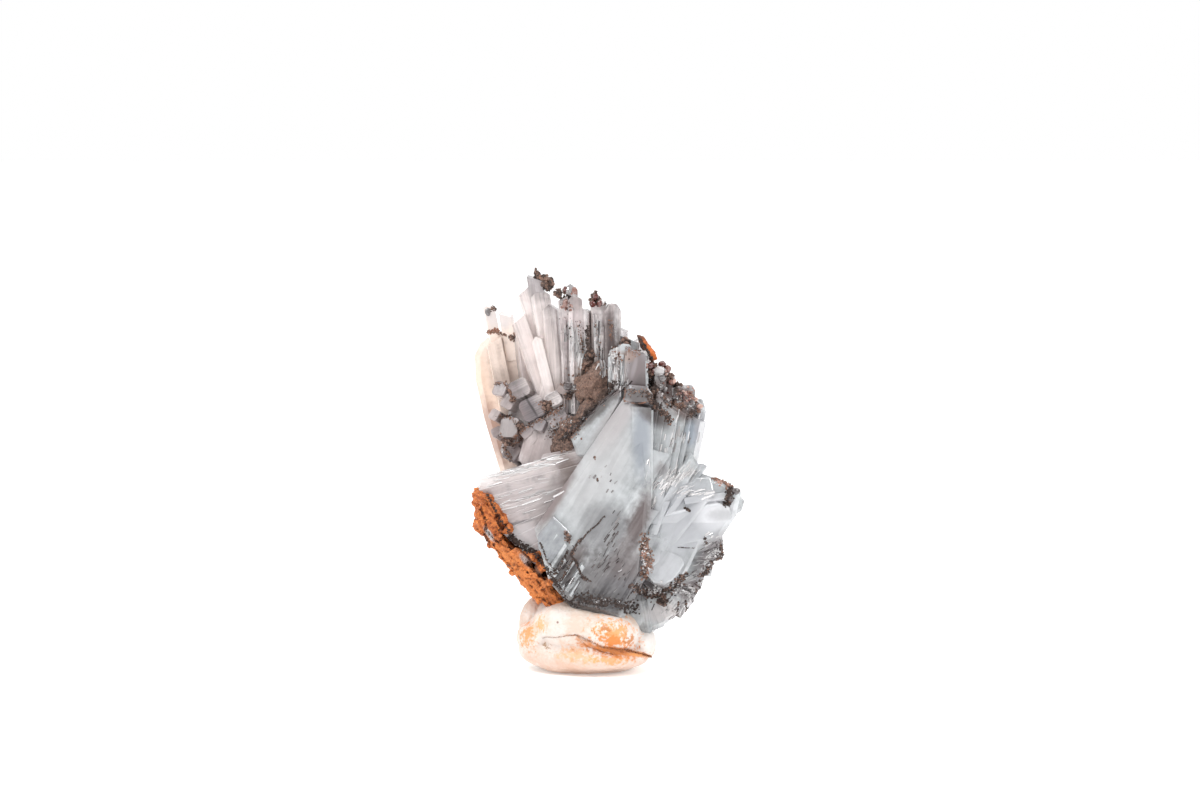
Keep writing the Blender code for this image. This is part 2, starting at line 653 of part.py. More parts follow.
def build():
    clear_scene()
    parts = bpy.data.collections.new("barite_specimen")
    tools = bpy.data.collections.new("tools")
    for collection in (parts, tools):
        bpy.context.scene.collection.children.link(collection)

    blue = material("pale blue barite", (0.62, 0.66, 0.70), 0.15)
    clear = material("colourless barite", (0.74, 0.70, 0.70), 0.12)
    white = material("white barite", (0.78, 0.74, 0.74), 0.2)
    cream = material("cream barite", (0.86, 0.68, 0.55), 0.3)
    brown = material("brown iron oxide", (0.15, 0.10, 0.08), 0.8)
    orange = material("orange limonite", (0.62, 0.20, 0.05), 0.9)
    clay = material("cream putty", (0.85, 0.72, 0.58), 0.6)

    def crystals(name, group):
        """Makes the meshes of a group of crystals and of the lumps on their tips."""
        caps = enumerate(CAPS.get(name, ()))
        lumps = [(centre, (radius,) * 3, 11 + place) for place, (centre, radius) in caps]
        return lambda grow: [crystal_mesh(crystal, grow) for crystal in group] + [
            lump_mesh(*lump, detail=1, grow=grow) for lump in lumps
        ]

    # Each piece gives way to the pieces before it.
    pieces = (
        ("front_blades", blue, crystals("front_blades", front_crystals())),
        ("left_blades", white, crystals("left_blades", left_crystals())),
        ("back_blades", clear, crystals("back_blades", back_crystals())),
        ("cream_blade", cream, crystals("cream_blade", cream_crystals())),
        ("oxide_seam", brown, lambda grow: [lump_mesh(*lump, grow=grow) for lump in oxide_lumps()]),
        ("limonite_crust", orange, lambda grow: [chunk_mesh(*chunk, grow) for chunk in crust_chunks()]),
        ("limonite_splinter", orange, lambda grow: [chunk_mesh(*chunk, grow) for chunk in splinter_chunks()]),
        ("putty_base", clay, lambda grow: [putty_mesh()]),
    )
    cutters = []
    for name, look, meshes in pieces:
        obj = joined(meshes(0), name, tools)
        for cutter in cutters:
            boolean(obj, cutter, "DIFFERENCE")
        finish(obj, name, look, parts)
        if name != pieces[-1][0]:
            cutters.append(clearance(meshes(GAP), tools))
    for cutter in cutters:
        bpy.data.objects.remove(cutter)


build()
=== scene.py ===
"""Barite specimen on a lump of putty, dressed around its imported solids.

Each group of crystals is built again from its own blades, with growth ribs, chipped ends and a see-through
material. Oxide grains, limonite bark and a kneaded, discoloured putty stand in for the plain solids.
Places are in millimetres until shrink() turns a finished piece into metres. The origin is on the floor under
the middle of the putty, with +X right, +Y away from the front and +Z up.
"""

import math
import random

import bmesh
import bpy
import numpy as np
from mathutils import Matrix, Vector
from mathutils.bvhtree import BVHTree
from mathutils.kdtree import KDTree


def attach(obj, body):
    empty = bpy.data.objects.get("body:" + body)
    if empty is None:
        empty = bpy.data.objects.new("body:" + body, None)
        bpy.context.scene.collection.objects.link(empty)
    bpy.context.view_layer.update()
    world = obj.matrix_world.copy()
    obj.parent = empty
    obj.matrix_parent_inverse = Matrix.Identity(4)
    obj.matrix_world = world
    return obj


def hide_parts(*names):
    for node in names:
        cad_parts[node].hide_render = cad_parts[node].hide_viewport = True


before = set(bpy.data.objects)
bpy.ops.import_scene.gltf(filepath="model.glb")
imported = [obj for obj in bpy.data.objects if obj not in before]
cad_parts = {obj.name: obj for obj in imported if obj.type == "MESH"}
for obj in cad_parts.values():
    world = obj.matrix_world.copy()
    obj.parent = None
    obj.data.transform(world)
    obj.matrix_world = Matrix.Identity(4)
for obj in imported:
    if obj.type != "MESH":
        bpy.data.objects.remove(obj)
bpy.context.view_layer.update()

MM = 0.001
FRONT = Vector((0, -1, 0))
FAR = 60  # farther out than any part of the specimen
WELD = 1e-3  # corners nearer to each other than this are one
CUT_GAP = 1e-4  # a corner nearer to a cut than this lies on it

# The front plate and what grows along with it.
PLATE_FOOT = 8
FRONT_LEAN = 0.06  # how far it leans back for each millimetre of height
GROWTH = Vector((0.55, 0.0, 0.835))  # the way in which it grew

# A crystal's growth ribs, their width, length, greatest number and unevenness, and its bevelled edges.
RIB_PITCH = 0.5
RIB_STEP = 6.0
MOST_RIBS = 60
RIDGE = 0.05
EDGE = 0.05
SHARP = math.radians(26)
SPARE = 0.1  # how far a block reaches past the faces that cut its end
PATTERN_SPAN = 300  # the growth patterns of two crystals lie up to this far apart
SIDE_SHIFT = 40  # and those of a crystal's sides and face this far
BARITE_IOR = 1.64

# A crystal's tone runs from smoky to fresh. Left to itself it lies between -1 and 1, where it is only milky.
SMOKY = -2.2
HAZY = -1.7
FRESH = 2.0

# How a crystal ends: for each end face, its tilts in degrees across the width and through the thickness.
CHISEL = ((38, 0), (-38, 0))
WEDGE = ((0, 40), (0, -40))
POINT = ((36, 8), (-30, 0), (0, 38), (0, -38))
SLANT_LEFT = ((-22, 6),)
SLANT_RIGHT = ((22, -6),)
BLUNT = ((5, 3), (42, 0), (-42, 0))
FLAT_END = ((6, -5),)
ROUNDED = ((8, 0), (-8, 0), (32, 0), (-32, 0), (56, 0), (-56, 0))
STEEP = 30  # an end face steeper than this only takes off a corner, if the end has more than two faces
CORNER_START = 0.28  # where it does so, as a share of the width


# ---------------------------------------------------------------- shader sums


class Wire:
    """A socket of a material, on which sums can be written."""

    def __init__(self, nodes, socket):
        self.nodes = nodes
        self.socket = socket

    def maths(self, operation, *values):
        return self.nodes.node("ShaderNodeMath", {"operation": operation}, dict(enumerate(values)))

    def __add__(self, other):
        return self.maths("ADD", self, other)

    def __sub__(self, other):
        return self.maths("SUBTRACT", self, other)

    def __rsub__(self, other):
        return self.maths("SUBTRACT", other, self)

    def __mul__(self, other):
        return self.maths("MULTIPLY", self, other)

    __radd__ = __add__
    __rmul__ = __mul__

    def most(self, other):
        return self.maths("MAXIMUM", self, other)

    def also(self, output):
        """Another output of the node that this one comes from."""
        return Wire(self.nodes, self.socket.node.outputs[output])

    def ramp(self, low, high, first=0.0, last=1.0):
        """first below low and last above high, with a smooth rise between."""
        settings = {"interpolation_type": "SMOOTHSTEP"}
        return self.nodes.node("ShaderNodeMapRange", settings, {0: self, 1: low, 2: high, 3: first, 4: last})


class Nodes:
    """Makes and links the nodes of a tree."""

    def __init__(self, tree):
        self.tree = tree

    def node(self, kind, settings=None, inputs=None, output=0):
        made = self.tree.nodes.new(kind)
        for key, value in (settings or {}).items():
            setattr(made, key, value)
        for key, value in (inputs or {}).items():
            self.feed(made.inputs[key], value)
        return Wire(self, made.outputs[output])

    def feed(self, socket, value):
        if isinstance(value, Wire):
            self.tree.links.new(value.socket, socket)
        elif hasattr(value, "__len__") and socket.type == "RGBA":
            socket.default_value = (*value, 1)
        else:
            socket.default_value = value

    def vector(self, operation, first, second=None, scale=None):
        inputs = {0: first}
        if second is not None:
            inputs[1] = second
        if scale is not None:
            inputs["Scale"] = scale
        output = "Value" if operation == "LENGTH" else "Vector"
        return self.node("ShaderNodeVectorMath", {"operation": operation}, inputs, output)

    def axis(self, vector, name):
        return self.node("ShaderNodeSeparateXYZ", None, {0: vector}, name)


class Look(Nodes):
    """A material and the patterns that it is made of. Its patterns lie in millimetres."""

    def __init__(self, name):
        self.material = bpy.data.materials.new(name)
        self.material.use_nodes = True
        super().__init__(self.material.node_tree)
        self.tree.nodes.clear()
        self.out = self.tree.nodes.new("ShaderNodeOutputMaterial")
        self.place = self.vector("SCALE", self.node("ShaderNodeTexCoord", output="Object"), scale=1 / MM)

    def noise(self, vector, scale, detail=3.0, flat=False):
        """Noise with that many lumps to the millimetre, one number for each way."""
        stretched = self.vector("MULTIPLY", vector, scale if hasattr(scale, "__len__") else (scale,) * 3)
        settings = {"noise_dimensions": "2D" if flat else "3D"}
        inputs = {"Vector": stretched, "Scale": 1.0, "Detail": detail, "Roughness": 0.55}
        return self.node("ShaderNodeTexNoise", settings, inputs)

    def cells(self, vector, scale):
        """The distance from the middle of a flat cell. Its Color output is another one for each cell."""
        inputs = {"Vector": self.vector("MULTIPLY", vector, scale), "Scale": 1.0}
        return self.node("ShaderNodeTexVoronoi", {"voronoi_dimensions": "2D"}, inputs)

    def tone(self):
        """The tone that each crystal or grain was given."""
        return self.node("ShaderNodeAttribute", {"attribute_name": "tone"}, output="Fac")

    def blend(self, share, first, second):
        inputs = {"Factor": share, 6: first, 7: second}
        return self.node("ShaderNodeMix", {"data_type": "RGBA"}, inputs, 2)

    def patch(self, centre, radii, turn, edge, ragged=None):
        """1 in an ellipsoid round centre, turned clockwise in the front view, and 0 away from it."""
        inputs = {
            "Vector": self.place,
            "Location": centre,
            "Rotation": (0, math.radians(turn), 0),
            "Scale": radii,
        }
        reach = self.vector("LENGTH", self.node("ShaderNodeMapping", {"vector_type": "TEXTURE"}, inputs))
        if ragged is not None:
            reach = reach + ragged
        return reach.ramp(1 + edge, 1 - edge)

    def lay_stains_and_light(self, colour, tints, ragged, share=1.0):
        """Lays tints, as (centre, radii, turn, strength, tint), over a colour, and says where they lie. Some
        tints are painted highlight or painted shade.
        """
        stain_and_light_mask = 0.0
        for centre, radii, turn, strength, tint in tints:
            mask = self.patch(centre, radii, turn, edge=0.5, ragged=ragged) * strength * share
            colour = self.blend(mask, colour, tint)
            stain_and_light_mask = mask.most(stain_and_light_mask)
        return colour, stain_and_light_mask

    def shade_hollows(self, colour, low, high, strength, hollow_shade):
        """Paints shade into the hollows of a fine mesh: a darker colour where it curves inward."""
        crevice = self.node("ShaderNodeNewGeometry", output="Pointiness")
        return self.blend(crevice.ramp(low, high, strength, 0.0), colour, hollow_shade)

    def bump(self, height, depth):
        """Relief of that depth in millimetres."""
        return self.node("ShaderNodeBump", None, {"Height": height, "Distance": depth * MM, "Strength": 1.0})

    def principled(self, **inputs):
        named = {key.replace("_", " "): value for key, value in inputs.items()}
        return self.node("ShaderNodeBsdfPrincipled", None, named)

    def finish(self, surface, volume=None):
        self.feed(self.out.inputs["Surface"], surface)
        if volume is not None:
            self.feed(self.out.inputs["Volume"], volume)
        return self.material


# ---------------------------------------------------------------- meshes


def choose(obj):
    bpy.ops.object.select_all(action="DESELECT")
    obj.select_set(True)
    bpy.context.view_layer.objects.active = obj


def split_edges(axis, parts):
    """Parts every edge that runs along an axis into that many parts."""
    if parts < 2:
        return
    data = bpy.context.object.data
    bpy.ops.mesh.select_all(action="DESELECT")
    mesh = bmesh.from_edit_mesh(data)
    for edge in mesh.edges:
        run = edge.verts[1].co - edge.verts[0].co
        if abs(run[axis]) > 0.95 * run.length:
            edge.select_set(True)
    bmesh.update_edit_mesh(data)
    bpy.ops.mesh.subdivide(number_cuts=parts - 1)


def cut_off(place, way):
    """Cuts off what lies beyond a place, seen that way, and closes the cut."""
    bpy.ops.mesh.select_all(action="SELECT")
    bpy.ops.mesh.bisect(plane_co=place, plane_no=way, use_fill=True, clear_outer=True, threshold=CUT_GAP)


def give_tone(mesh, values):
    """Stores each corner's tone, which the materials read."""
    mesh.attributes.new("tone", "FLOAT", "POINT").data.foreach_set("value", values)


def map_growth(obj, chance, tone):
    """Gives each corner its place round and along the crystal in millimetres, and the crystal its tone."""
    mesh = obj.data
    layer = mesh.uv_layers.new(name="growth")
    shift = Vector((chance.uniform(0, PATTERN_SPAN), chance.uniform(0, PATTERN_SPAN)))
    for face in mesh.polygons:
        round_side = abs(face.normal.x) > abs(face.normal.y)
        for corner in face.loop_indices:
            spot = mesh.vertices[mesh.loops[corner].vertex_index].co
            across = spot.y + SIDE_SHIFT if round_side else spot.x
            layer.data[corner].uv = Vector((across, spot.z)) + shift
    if tone is None:
        tone = chance.uniform(-1, 1)
    give_tone(mesh, [tone] * len(mesh.vertices))


def grown(size, cuts, place, seed, pitch=RIB_PITCH, ridge=RIDGE, edge=EDGE, round_steps=1, tone=None):
    """A crystal: a ribbed block along Z, cut by (normal, distance) planes and put in place."""
    chance = random.Random(seed)
    bpy.ops.object.select_all(action="DESELECT")
    bpy.ops.mesh.primitive_cube_add(size=1, calc_uvs=False, enter_editmode=True)
    bpy.ops.transform.resize(value=size)
    for axis, step in enumerate((pitch, pitch, RIB_STEP)):
        split_edges(axis, min(MOST_RIBS, round(size[axis] / step)))
    bpy.ops.mesh.select_all(action="SELECT")
    bpy.ops.transform.vertex_random(offset=ridge, normal=1.0, seed=seed)
    for normal, distance in cuts:
        cut_off(normal * distance, normal)
    bpy.ops.mesh.select_all(action="DESELECT")
    bpy.ops.mesh.edges_select_sharp(sharpness=SHARP)
    bpy.ops.mesh.bevel(offset=edge, segments=round_steps, affect="EDGES", clamp_overlap=True)
    bpy.ops.object.mode_set(mode="OBJECT")
    obj = bpy.context.object
    map_growth(obj, chance, tone)
    obj.matrix_world = place
    return obj


def crystal_frame(middle, along, turn):
    """Z runs along the crystal, Y through its thickness. Its wide face looks to the front, turned by turn."""
    along = along.normalized()
    face = (FRONT - FRONT.dot(along) * along).normalized()
    face.rotate(Matrix.Rotation(math.radians(turn), 3, along))
    across = along.cross(face)
    turned = Matrix((across, -face, along)).transposed().to_4x4()
    return Matrix.Translation(middle) @ turned


def blade(foot, tip, width, thickness, turn=0, end=CHISEL, rim=0.0, **finish):
    """A long crystal from foot to tip. rim is the width of the flats along its four long edges."""
    foot, tip = Vector(foot), Vector(tip)
    length = (tip - foot).length
    cuts = []
    for across, through in end:
        normal = Vector((math.tan(math.radians(across)), math.tan(math.radians(through)), 1))
        corner = CORNER_START * width if abs(across) > STEEP and len(end) > 2 else 0
        cuts.append((normal.normalized(), (length / 2 + corner) / normal.length))
    if rim:
        flat = (width + thickness) / 2 - rim
        for x in (-1, 1):
            for y in (-1, 1):
                cuts.append((Vector((x, y, 0)).normalized(), flat / math.sqrt(2)))
    reach = width * max(abs(math.tan(math.radians(across))) for across, _ in end) / 2
    reach += thickness * max(abs(math.tan(math.radians(through))) for _, through in end) / 2
    # The block reaches past the tip, so that the end faces cut all of it.
    size = (width, thickness, length + reach + 2 * SPARE)
    shift = reach / 2 + SPARE
    cuts = [(normal, distance - normal.z * shift) for normal, distance in cuts]
    place = crystal_frame((foot + tip) / 2, tip - foot, turn) @ Matrix.Translation((0, 0, shift))
    # Each crystal gets a seed of its own. Any factors would do.
    seed = round(abs(foot.x * 131 + tip.z * 57 + width * 911)) + 1
    return grown(size, cuts, place, seed, **finish)


def plate(outline, depth, thickness, lean=0.0, rim=0.6, turn=0.0, grain=0.0, seed=1, **finish):
    """A flat crystal seen face on. outline is a convex ring of (x, z) points, and grain its ribs' slope."""
    ring = [Vector((x, 0, z)) for x, z in outline]
    middle = sum(ring, Vector()) / len(ring)
    slope = Matrix.Rotation(math.radians(grain), 3, "Y")
    cuts = []
    for here, after in zip(ring, ring[1:] + ring[:1]):
        side = after - here
        outward = Vector((side.z, 0, -side.x)).normalized()
        reach = outward.dot(here - middle)
        bevel = (reach + thickness / 2 - rim) / math.sqrt(2)
        cuts.append((outward, reach))
        for y in (-1, 1):
            cuts.append((Vector((outward.x, y, outward.z)).normalized(), bevel))
    cuts = [(slope.transposed() @ normal, distance) for normal, distance in cuts]
    upright = Matrix.Rotation(-math.atan(lean), 4, "X") @ Matrix.Rotation(math.radians(turn), 4, "Z")
    place = Matrix.Translation((middle.x, depth, middle.z)) @ upright @ slope.to_4x4()
    span = 2 * max((point - middle).length for point in ring)
    return grown((span, thickness, span), cuts, place, seed, **finish)


def sheaf(feet, tips, count, width, thickness, seed, spread, turn, end=CHISEL):
    """Blades side by side, between the first and last of feet and tips, shifted at random by spread."""
    chance = random.Random(seed)
    first_foot, last_foot = map(Vector, feet)
    first_tip, last_tip = map(Vector, tips)
    made = []
    for place in range(count):
        share = place / (count - 1)
        foot = first_foot.lerp(last_foot, share)
        tip = first_tip.lerp(last_tip, share)
        along = (tip - foot).normalized()
        foot += along * chance.uniform(-spread, spread)
        tip += along * chance.uniform(-2.2, 1.0) * spread
        tip.y += chance.uniform(-0.4, 0.4) * spread
        wide = width * chance.uniform(0.75, 1.25)
        thick = thickness * chance.uniform(0.8, 1.2)
        made.append(blade(foot, tip, wide, thick, turn + chance.uniform(-9, 9), end))
    return made


def shrink(obj):
    """From millimetres to metres."""
    obj.data.transform(Matrix.Scale(MM, 4))
    obj.data.update()
    return obj


def merged(pieces):
    """One object of several, with its place in its mesh."""
    choose(pieces[0])
    for piece in pieces:
        piece.select_set(True)
    bpy.ops.object.join()
    whole = bpy.context.object
    choose(whole)
    bpy.ops.object.transform_apply(location=True, rotation=True, scale=True)
    return whole


def gather(name, crystals):
    whole = merged(crystals)
    whole.name = whole.data.name = name
    return shrink(whole)


def ball(centre, radii, turn):
    """A ball, stretched and then turned anticlockwise in the front view."""
    bpy.ops.object.select_all(action="DESELECT")
    bpy.ops.mesh.primitive_uv_sphere_add(
        segments=40, ring_count=20, radius=1, location=centre, rotation=(0, math.radians(-turn), 0)
    )
    obj = bpy.context.object
    obj.scale = radii
    return obj


def copy_of(node, name):
    """A copy of a solid in millimetres, its loose triangles merged."""
    obj = bpy.data.objects.new(name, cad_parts[node].data.copy())
    bpy.context.collection.objects.link(obj)
    obj.data.name = name
    obj.data.transform(Matrix.Scale(1 / MM, 4))
    choose(obj)
    bpy.ops.object.mode_set(mode="EDIT")
    bpy.ops.mesh.select_all(action="SELECT")
    bpy.ops.mesh.remove_doubles(threshold=WELD)
    bpy.ops.object.mode_set(mode="OBJECT")
    return obj


def modify(obj, kind, **settings):
    """Adds a modifier and applies it."""
    choose(obj)
    step = obj.modifiers.new(kind.title(), kind)
    for key, value in settings.items():
        setattr(step, key, value)
    bpy.ops.object.modifier_apply(modifier=step.name)


def lumps(name, kind="CLOUDS", size=1.0):
    """A texture that Displace reads."""
    texture = bpy.data.textures.new(name, kind)
    texture.noise_scale = size
    return texture


def surface_of(pieces, unit=MM):
    """The faces of pieces modelled in that unit, in millimetres, for a line of sight to meet."""
    corners, faces = [], []
    for piece in pieces:
        start = len(corners)
        corners += [vert.co / unit for vert in piece.data.vertices]
        faces += [[start + index for index in face.vertices] for face in piece.data.polygons]
    return BVHTree.FromPolygons(corners, faces)


def dress(obj, look, node):
    obj.data.materials.clear()
    obj.data.materials.append(look)
    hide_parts(node)
    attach(obj, "root")
    return obj


# ---------------------------------------------------------------- front crystals


def leaned(x, z, depth):
    """A point on the front blades' leaning face, depth millimetres behind it."""
    return (x, depth + FRONT_LEAN * (z - PLATE_FOOT), z)


def front_plate():
    outline = (
        (-1.5, 8.0), (4.5, 6.6), (7.4, 12.0), (8.3, 22.0),
        (8.0, 33.6), (5.2, 35.2), (-6.4, 18.2), (-4.6, 11.6),
    )
    slope = math.degrees(math.atan2(GROWTH.x, GROWTH.z))
    made = [plate(outline, -2.6, 4.2, FRONT_LEAN, rim=1.0, grain=slope, pitch=0.45, ridge=0.025)]
    for x, z, length, width, rise in (
        (-3.6, 17.2, 17.0, 2.4, -0.1),
        (-0.6, 13.2, 17.5, 2.8, -0.08),
        (1.9, 11.5, 11.0, 2.2, 0.05),
        (4.1, 10.2, 8.4, 2.6, -0.05),
        (3.4, 21.0, 8.5, 1.5, -0.1),
    ):
        foot = Vector(leaned(x, z, -4.1 - rise))
        tip = foot + GROWTH * length + Vector((0, FRONT_LEAN * length * GROWTH.z, 0))
        made.append(blade(foot, tip, width, 1.6, end=SLANT_LEFT, ridge=0.03))
    pane = ((-4.6, 13.9), (-3.0, 15.5), (-1.9, 17.9), (-2.7, 18.8), (-4.0, 20.0), (-6.0, 17.6), (-5.9, 16.0))
    made.append(plate(pane, -4.9, 0.7, FRONT_LEAN, rim=0.1, grain=slope, ridge=0.0, seed=3, tone=HAZY))
    behind = ((-1.1, 27.2), (0.5, 26.8), (4.4, 34.0), (4.6, 35.9), (2.4, 34.5), (-1.9, 29.4))
    made.append(plate(behind, -1.2, 2.0, rim=0.3, grain=slope, ridge=0.0, seed=6))
    smoky_top = ((4.7, 33.9), (8.2, 33.7), (8.3, 35.0), (7.6, 36.0), (5.4, 36.2), (4.8, 35.4))
    made.append(plate(smoky_top, -3.2, 1.4, rim=0.35, ridge=0.0, seed=7, tone=HAZY))
    made += [
        blade(leaned(6.9, 20.4, -4.6), leaned(6.9, 33.5, -5.1), 2.4, 0.8, end=FLAT_END, ridge=0.0, tone=0.0),
        blade(leaned(8.0, 22.0, -4.4), leaned(8.1, 33.0, -4.9), 0.3, 0.7, 20, SLANT_LEFT, tone=FRESH),
    ]
    for x, z, length, width in (
        (-4.5, 13.6, 3.6, 0.5),
        (-4.0, 12.5, 2.6, 0.34),
        (-3.4, 11.6, 3.4, 0.42),
        (-2.5, 10.7, 3.9, 0.58),
        (-2.0, 10.1, 2.2, 0.3),
        (-3.1, 10.7, 0.9, 0.4),
        (-5.0, 15.6, 2.6, 0.3),
    ):
        foot = Vector(leaned(x, z, -5.3))
        tip = foot + GROWTH * length
        made.append(blade(foot, tip, width, 0.8, turn=14, end=SLANT_RIGHT, ridge=0.0, tone=FRESH))
    made.append(blade(leaned(6.5, 22.0, -4.2), leaned(6.8, 33.2, -4.2), 2.4, 1.6, end=BLUNT))
    return made


def upper_columns():
    return [
        blade((3.9, 0.2, 30.0), (3.7, 0.6, 40.4), 1.5, 1.8, end=SLANT_LEFT),
        blade((4.9, -0.2, 30.0), (4.8, 0.2, 41.0), 1.4, 1.9, turn=8, end=BLUNT),
        blade((6.4, -0.5, 29.0), (6.4, 0.1, 40.0), 2.6, 2.4, turn=-6, end=BLUNT, rim=0.3),
        blade((5.6, 2.0, 30.0), (5.5, 2.8, 41.4), 1.9, 1.8, turn=20, end=SLANT_RIGHT),
        blade((7.4, 1.8, 30.0), (7.8, 2.6, 38.6), 1.6, 1.6, turn=-14),
        blade((6.4, -1.4, 33.6), (6.3, -1.2, 40.2), 2.5, 1.2, 3, SLANT_RIGHT, rim=0.1, ridge=0.0, tone=HAZY),
        blade((3.2, -0.7, 30.4), (3.1, -0.5, 39.6), 0.5, 0.5, turn=32, end=POINT, tone=FRESH),
        blade((3.9, -0.9, 30.4), (3.8, -0.8, 38.2), 0.6, 0.5, turn=-26, end=CHISEL),
        blade((4.6, -1.1, 30.4), (4.5, -1.0, 39.8), 0.5, 0.5, turn=20, end=BLUNT, tone=FRESH),
        blade((5.1, -1.5, 33.0), (5.3, -1.3, 39.6), 0.7, 0.8, turn=-24, end=SLANT_RIGHT, ridge=0.0),
        blade((7.6, -1.9, 33.6), (7.5, -1.7, 39.0), 0.3, 0.4, 30, SLANT_RIGHT, ridge=0.0, tone=FRESH),
    ]


def right_block():
    made = sheaf(
        feet=((6.0, -2.6, 17.5), (11.6, -1.6, 21.5)),
        tips=((8.9, -1.4, 35.0), (13.9, 0.2, 32.8)),
        count=6,
        width=1.8,
        thickness=3.2,
        seed=4,
        spread=0.5,
        turn=-12,
        end=SLANT_RIGHT,
    )
    made += sheaf(
        feet=((7.0, 1.2, 11.6), (9.8, 2.0, 12.4)),
        tips=((8.6, 2.2, 36.4), (13.4, 3.0, 33.6)),
        count=4,
        width=2.4,
        thickness=3.4,
        seed=9,
        spread=0.6,
        turn=16,
        end=WEDGE,
    )
    made += [
        blade((9.0, 0.0, 31.0), (9.2, 0.4, 38.0), 1.5, 1.5, turn=12, end=BLUNT),
        blade((10.3, 0.6, 31.0), (10.5, 1.2, 37.0), 1.2, 1.4, turn=-18, end=WEDGE),
        blade((11.4, -0.3, 30.0), (11.6, 0.0, 35.8), 1.1, 1.3, turn=14, end=CHISEL),
        blade((12.5, -0.2, 30.0), (12.9, 0.2, 35.9), 1.5, 1.5, turn=6, end=ROUNDED),
        blade((13.3, 0.6, 28.0), (13.9, 1.0, 33.9), 1.3, 1.5, turn=-10),
    ]
    return made


def right_fan():
    smooth = {"pitch": 1.2, "ridge": 0.03, "edge": 0.16, "round_steps": 2}
    broad = ((8.2, 14.6), (16.6, 16.6), (18.7, 19.6), (19.4, 22.6), (17.0, 24.1), (14.0, 25.0), (8.6, 22.6))
    low = (
        (7.5, 12.7), (8.4, 11.6), (9.8, 11.4), (10.7, 11.9), (11.7, 13.1),
        (12.2, 14.0), (11.9, 14.8), (10.8, 15.4), (9.2, 15.9), (7.6, 14.4),
    )
    return [
        plate(broad, -1.6, 2.6, lean=0.12, rim=0.7, turn=10, grain=60, seed=5, **smooth),
        blade((8.6, -3.2, 15.4), (15.6, -2.0, 24.4), 3.2, 2.0, turn=-14, end=CHISEL, rim=0.3, **smooth),
        blade((9.2, -2.8, 18.6), (17.9, -1.6, 20.4), 3.4, 2.4, turn=12, end=ROUNDED, rim=0.4, **smooth),
        blade((9.0, -2.2, 16.8), (16.9, -0.4, 16.9), 3.6, 2.4, turn=18, end=CHISEL, rim=0.4),
        blade((15.4, -0.2, 24.0), (8.9, -4.6, 11.3), 5.0, 2.2, turn=-6, end=ROUNDED, rim=0.5, **smooth),
        blade((12.6, -0.6, 24.4), (7.5, -4.6, 13.6), 3.0, 1.8, turn=4, end=ROUNDED, rim=0.3, **smooth),
        plate(low, -4.95, 0.9, lean=0.33, rim=0.2, grain=35, seed=8, **smooth),
        blade((9.4, -3.0, 20.8), (13.4, -2.2, 27.0), 1.6, 1.6, turn=20, end=SLANT_RIGHT),
        blade((10.8, -2.6, 20.2), (14.7, -2.0, 26.2), 1.0, 1.0, turn=-10, end=POINT),
        blade((12.9, -0.4, 18.0), (19.5, 0.6, 21.8), 2.4, 2.2, turn=30, end=CHISEL),
        blade((12.2, -3.4, 21.6), (17.6, -2.6, 22.2), 0.9, 0.7, turn=-30, end=CHISEL, ridge=0.0),
        blade((9.8, -3.6, 19.6), (12.6, -3.2, 23.6), 0.9, 0.8, turn=30, end=CHISEL, ridge=0.0),
        blade((8.4, -3.8, 17.6), (9.9, -3.5, 21.6), 1.2, 0.8, turn=-25, end=SLANT_LEFT, ridge=0.0),
        blade((10.2, -3.0, 22.8), (12.0, -3.2, 25.2), 0.7, 0.6, turn=24, end=POINT, ridge=0.0, tone=FRESH),
        blade((11.2, -3.0, 21.8), (15.2, -2.4, 23.6), 0.6, 0.5, turn=-20, end=CHISEL, ridge=0.0, tone=FRESH),
    ]


def lower_right_blades():
    """Seven fans of three layers each, from the upper right round to the foot, and the mass behind them."""
    tips = ((17.2, 15.6), (16.0, 13.2), (14.8, 11.5), (14.0, 9.6), (12.8, 7.7), (11.0, 6.4), (8.6, 5.0))
    root = Vector((4.6, 0.8, 15.2))
    made = []
    for place, (x, z) in enumerate(tips):
        side = 1 if place % 2 else -1
        foot = root + Vector((0.17 * place, 0.2 * side, -0.23 * place))
        tip = Vector((x, 0.9 + 0.5 * side, z))
        for layer, short in ((-0.95, 0.0), (0.0, 0.05), (0.95, 0.11)):
            behind = Vector((0, layer, 0))
            far = tip.lerp(foot, short) + behind
            turn = 12 * side + layer * 14
            end = WEDGE if layer else CHISEL
            made.append(blade(foot + behind, far, 3.0 - short * 8, 1.7, turn=turn, end=end))
    made += [
        blade((3.0, 0.4, 17.0), (4.4, 0.2, 5.4), 6.4, 5.0, turn=-8, end=BLUNT, rim=0.6),
        blade((4.8, 0.4, 16.0), (7.0, 0.0, 4.2), 3.6, 3.4, turn=14, end=BLUNT, rim=0.3),
        blade((6.0, -0.6, 12.0), (7.4, -1.0, 4.3), 1.2, 1.4, turn=-20, end=CHISEL),
        blade((1.0, 0.2, 16.0), (-0.4, 0.4, 6.4), 5.0, 4.6, turn=12, end=BLUNT, rim=0.5),
    ]
    return made


# ---------------------------------------------------------------- back crystals


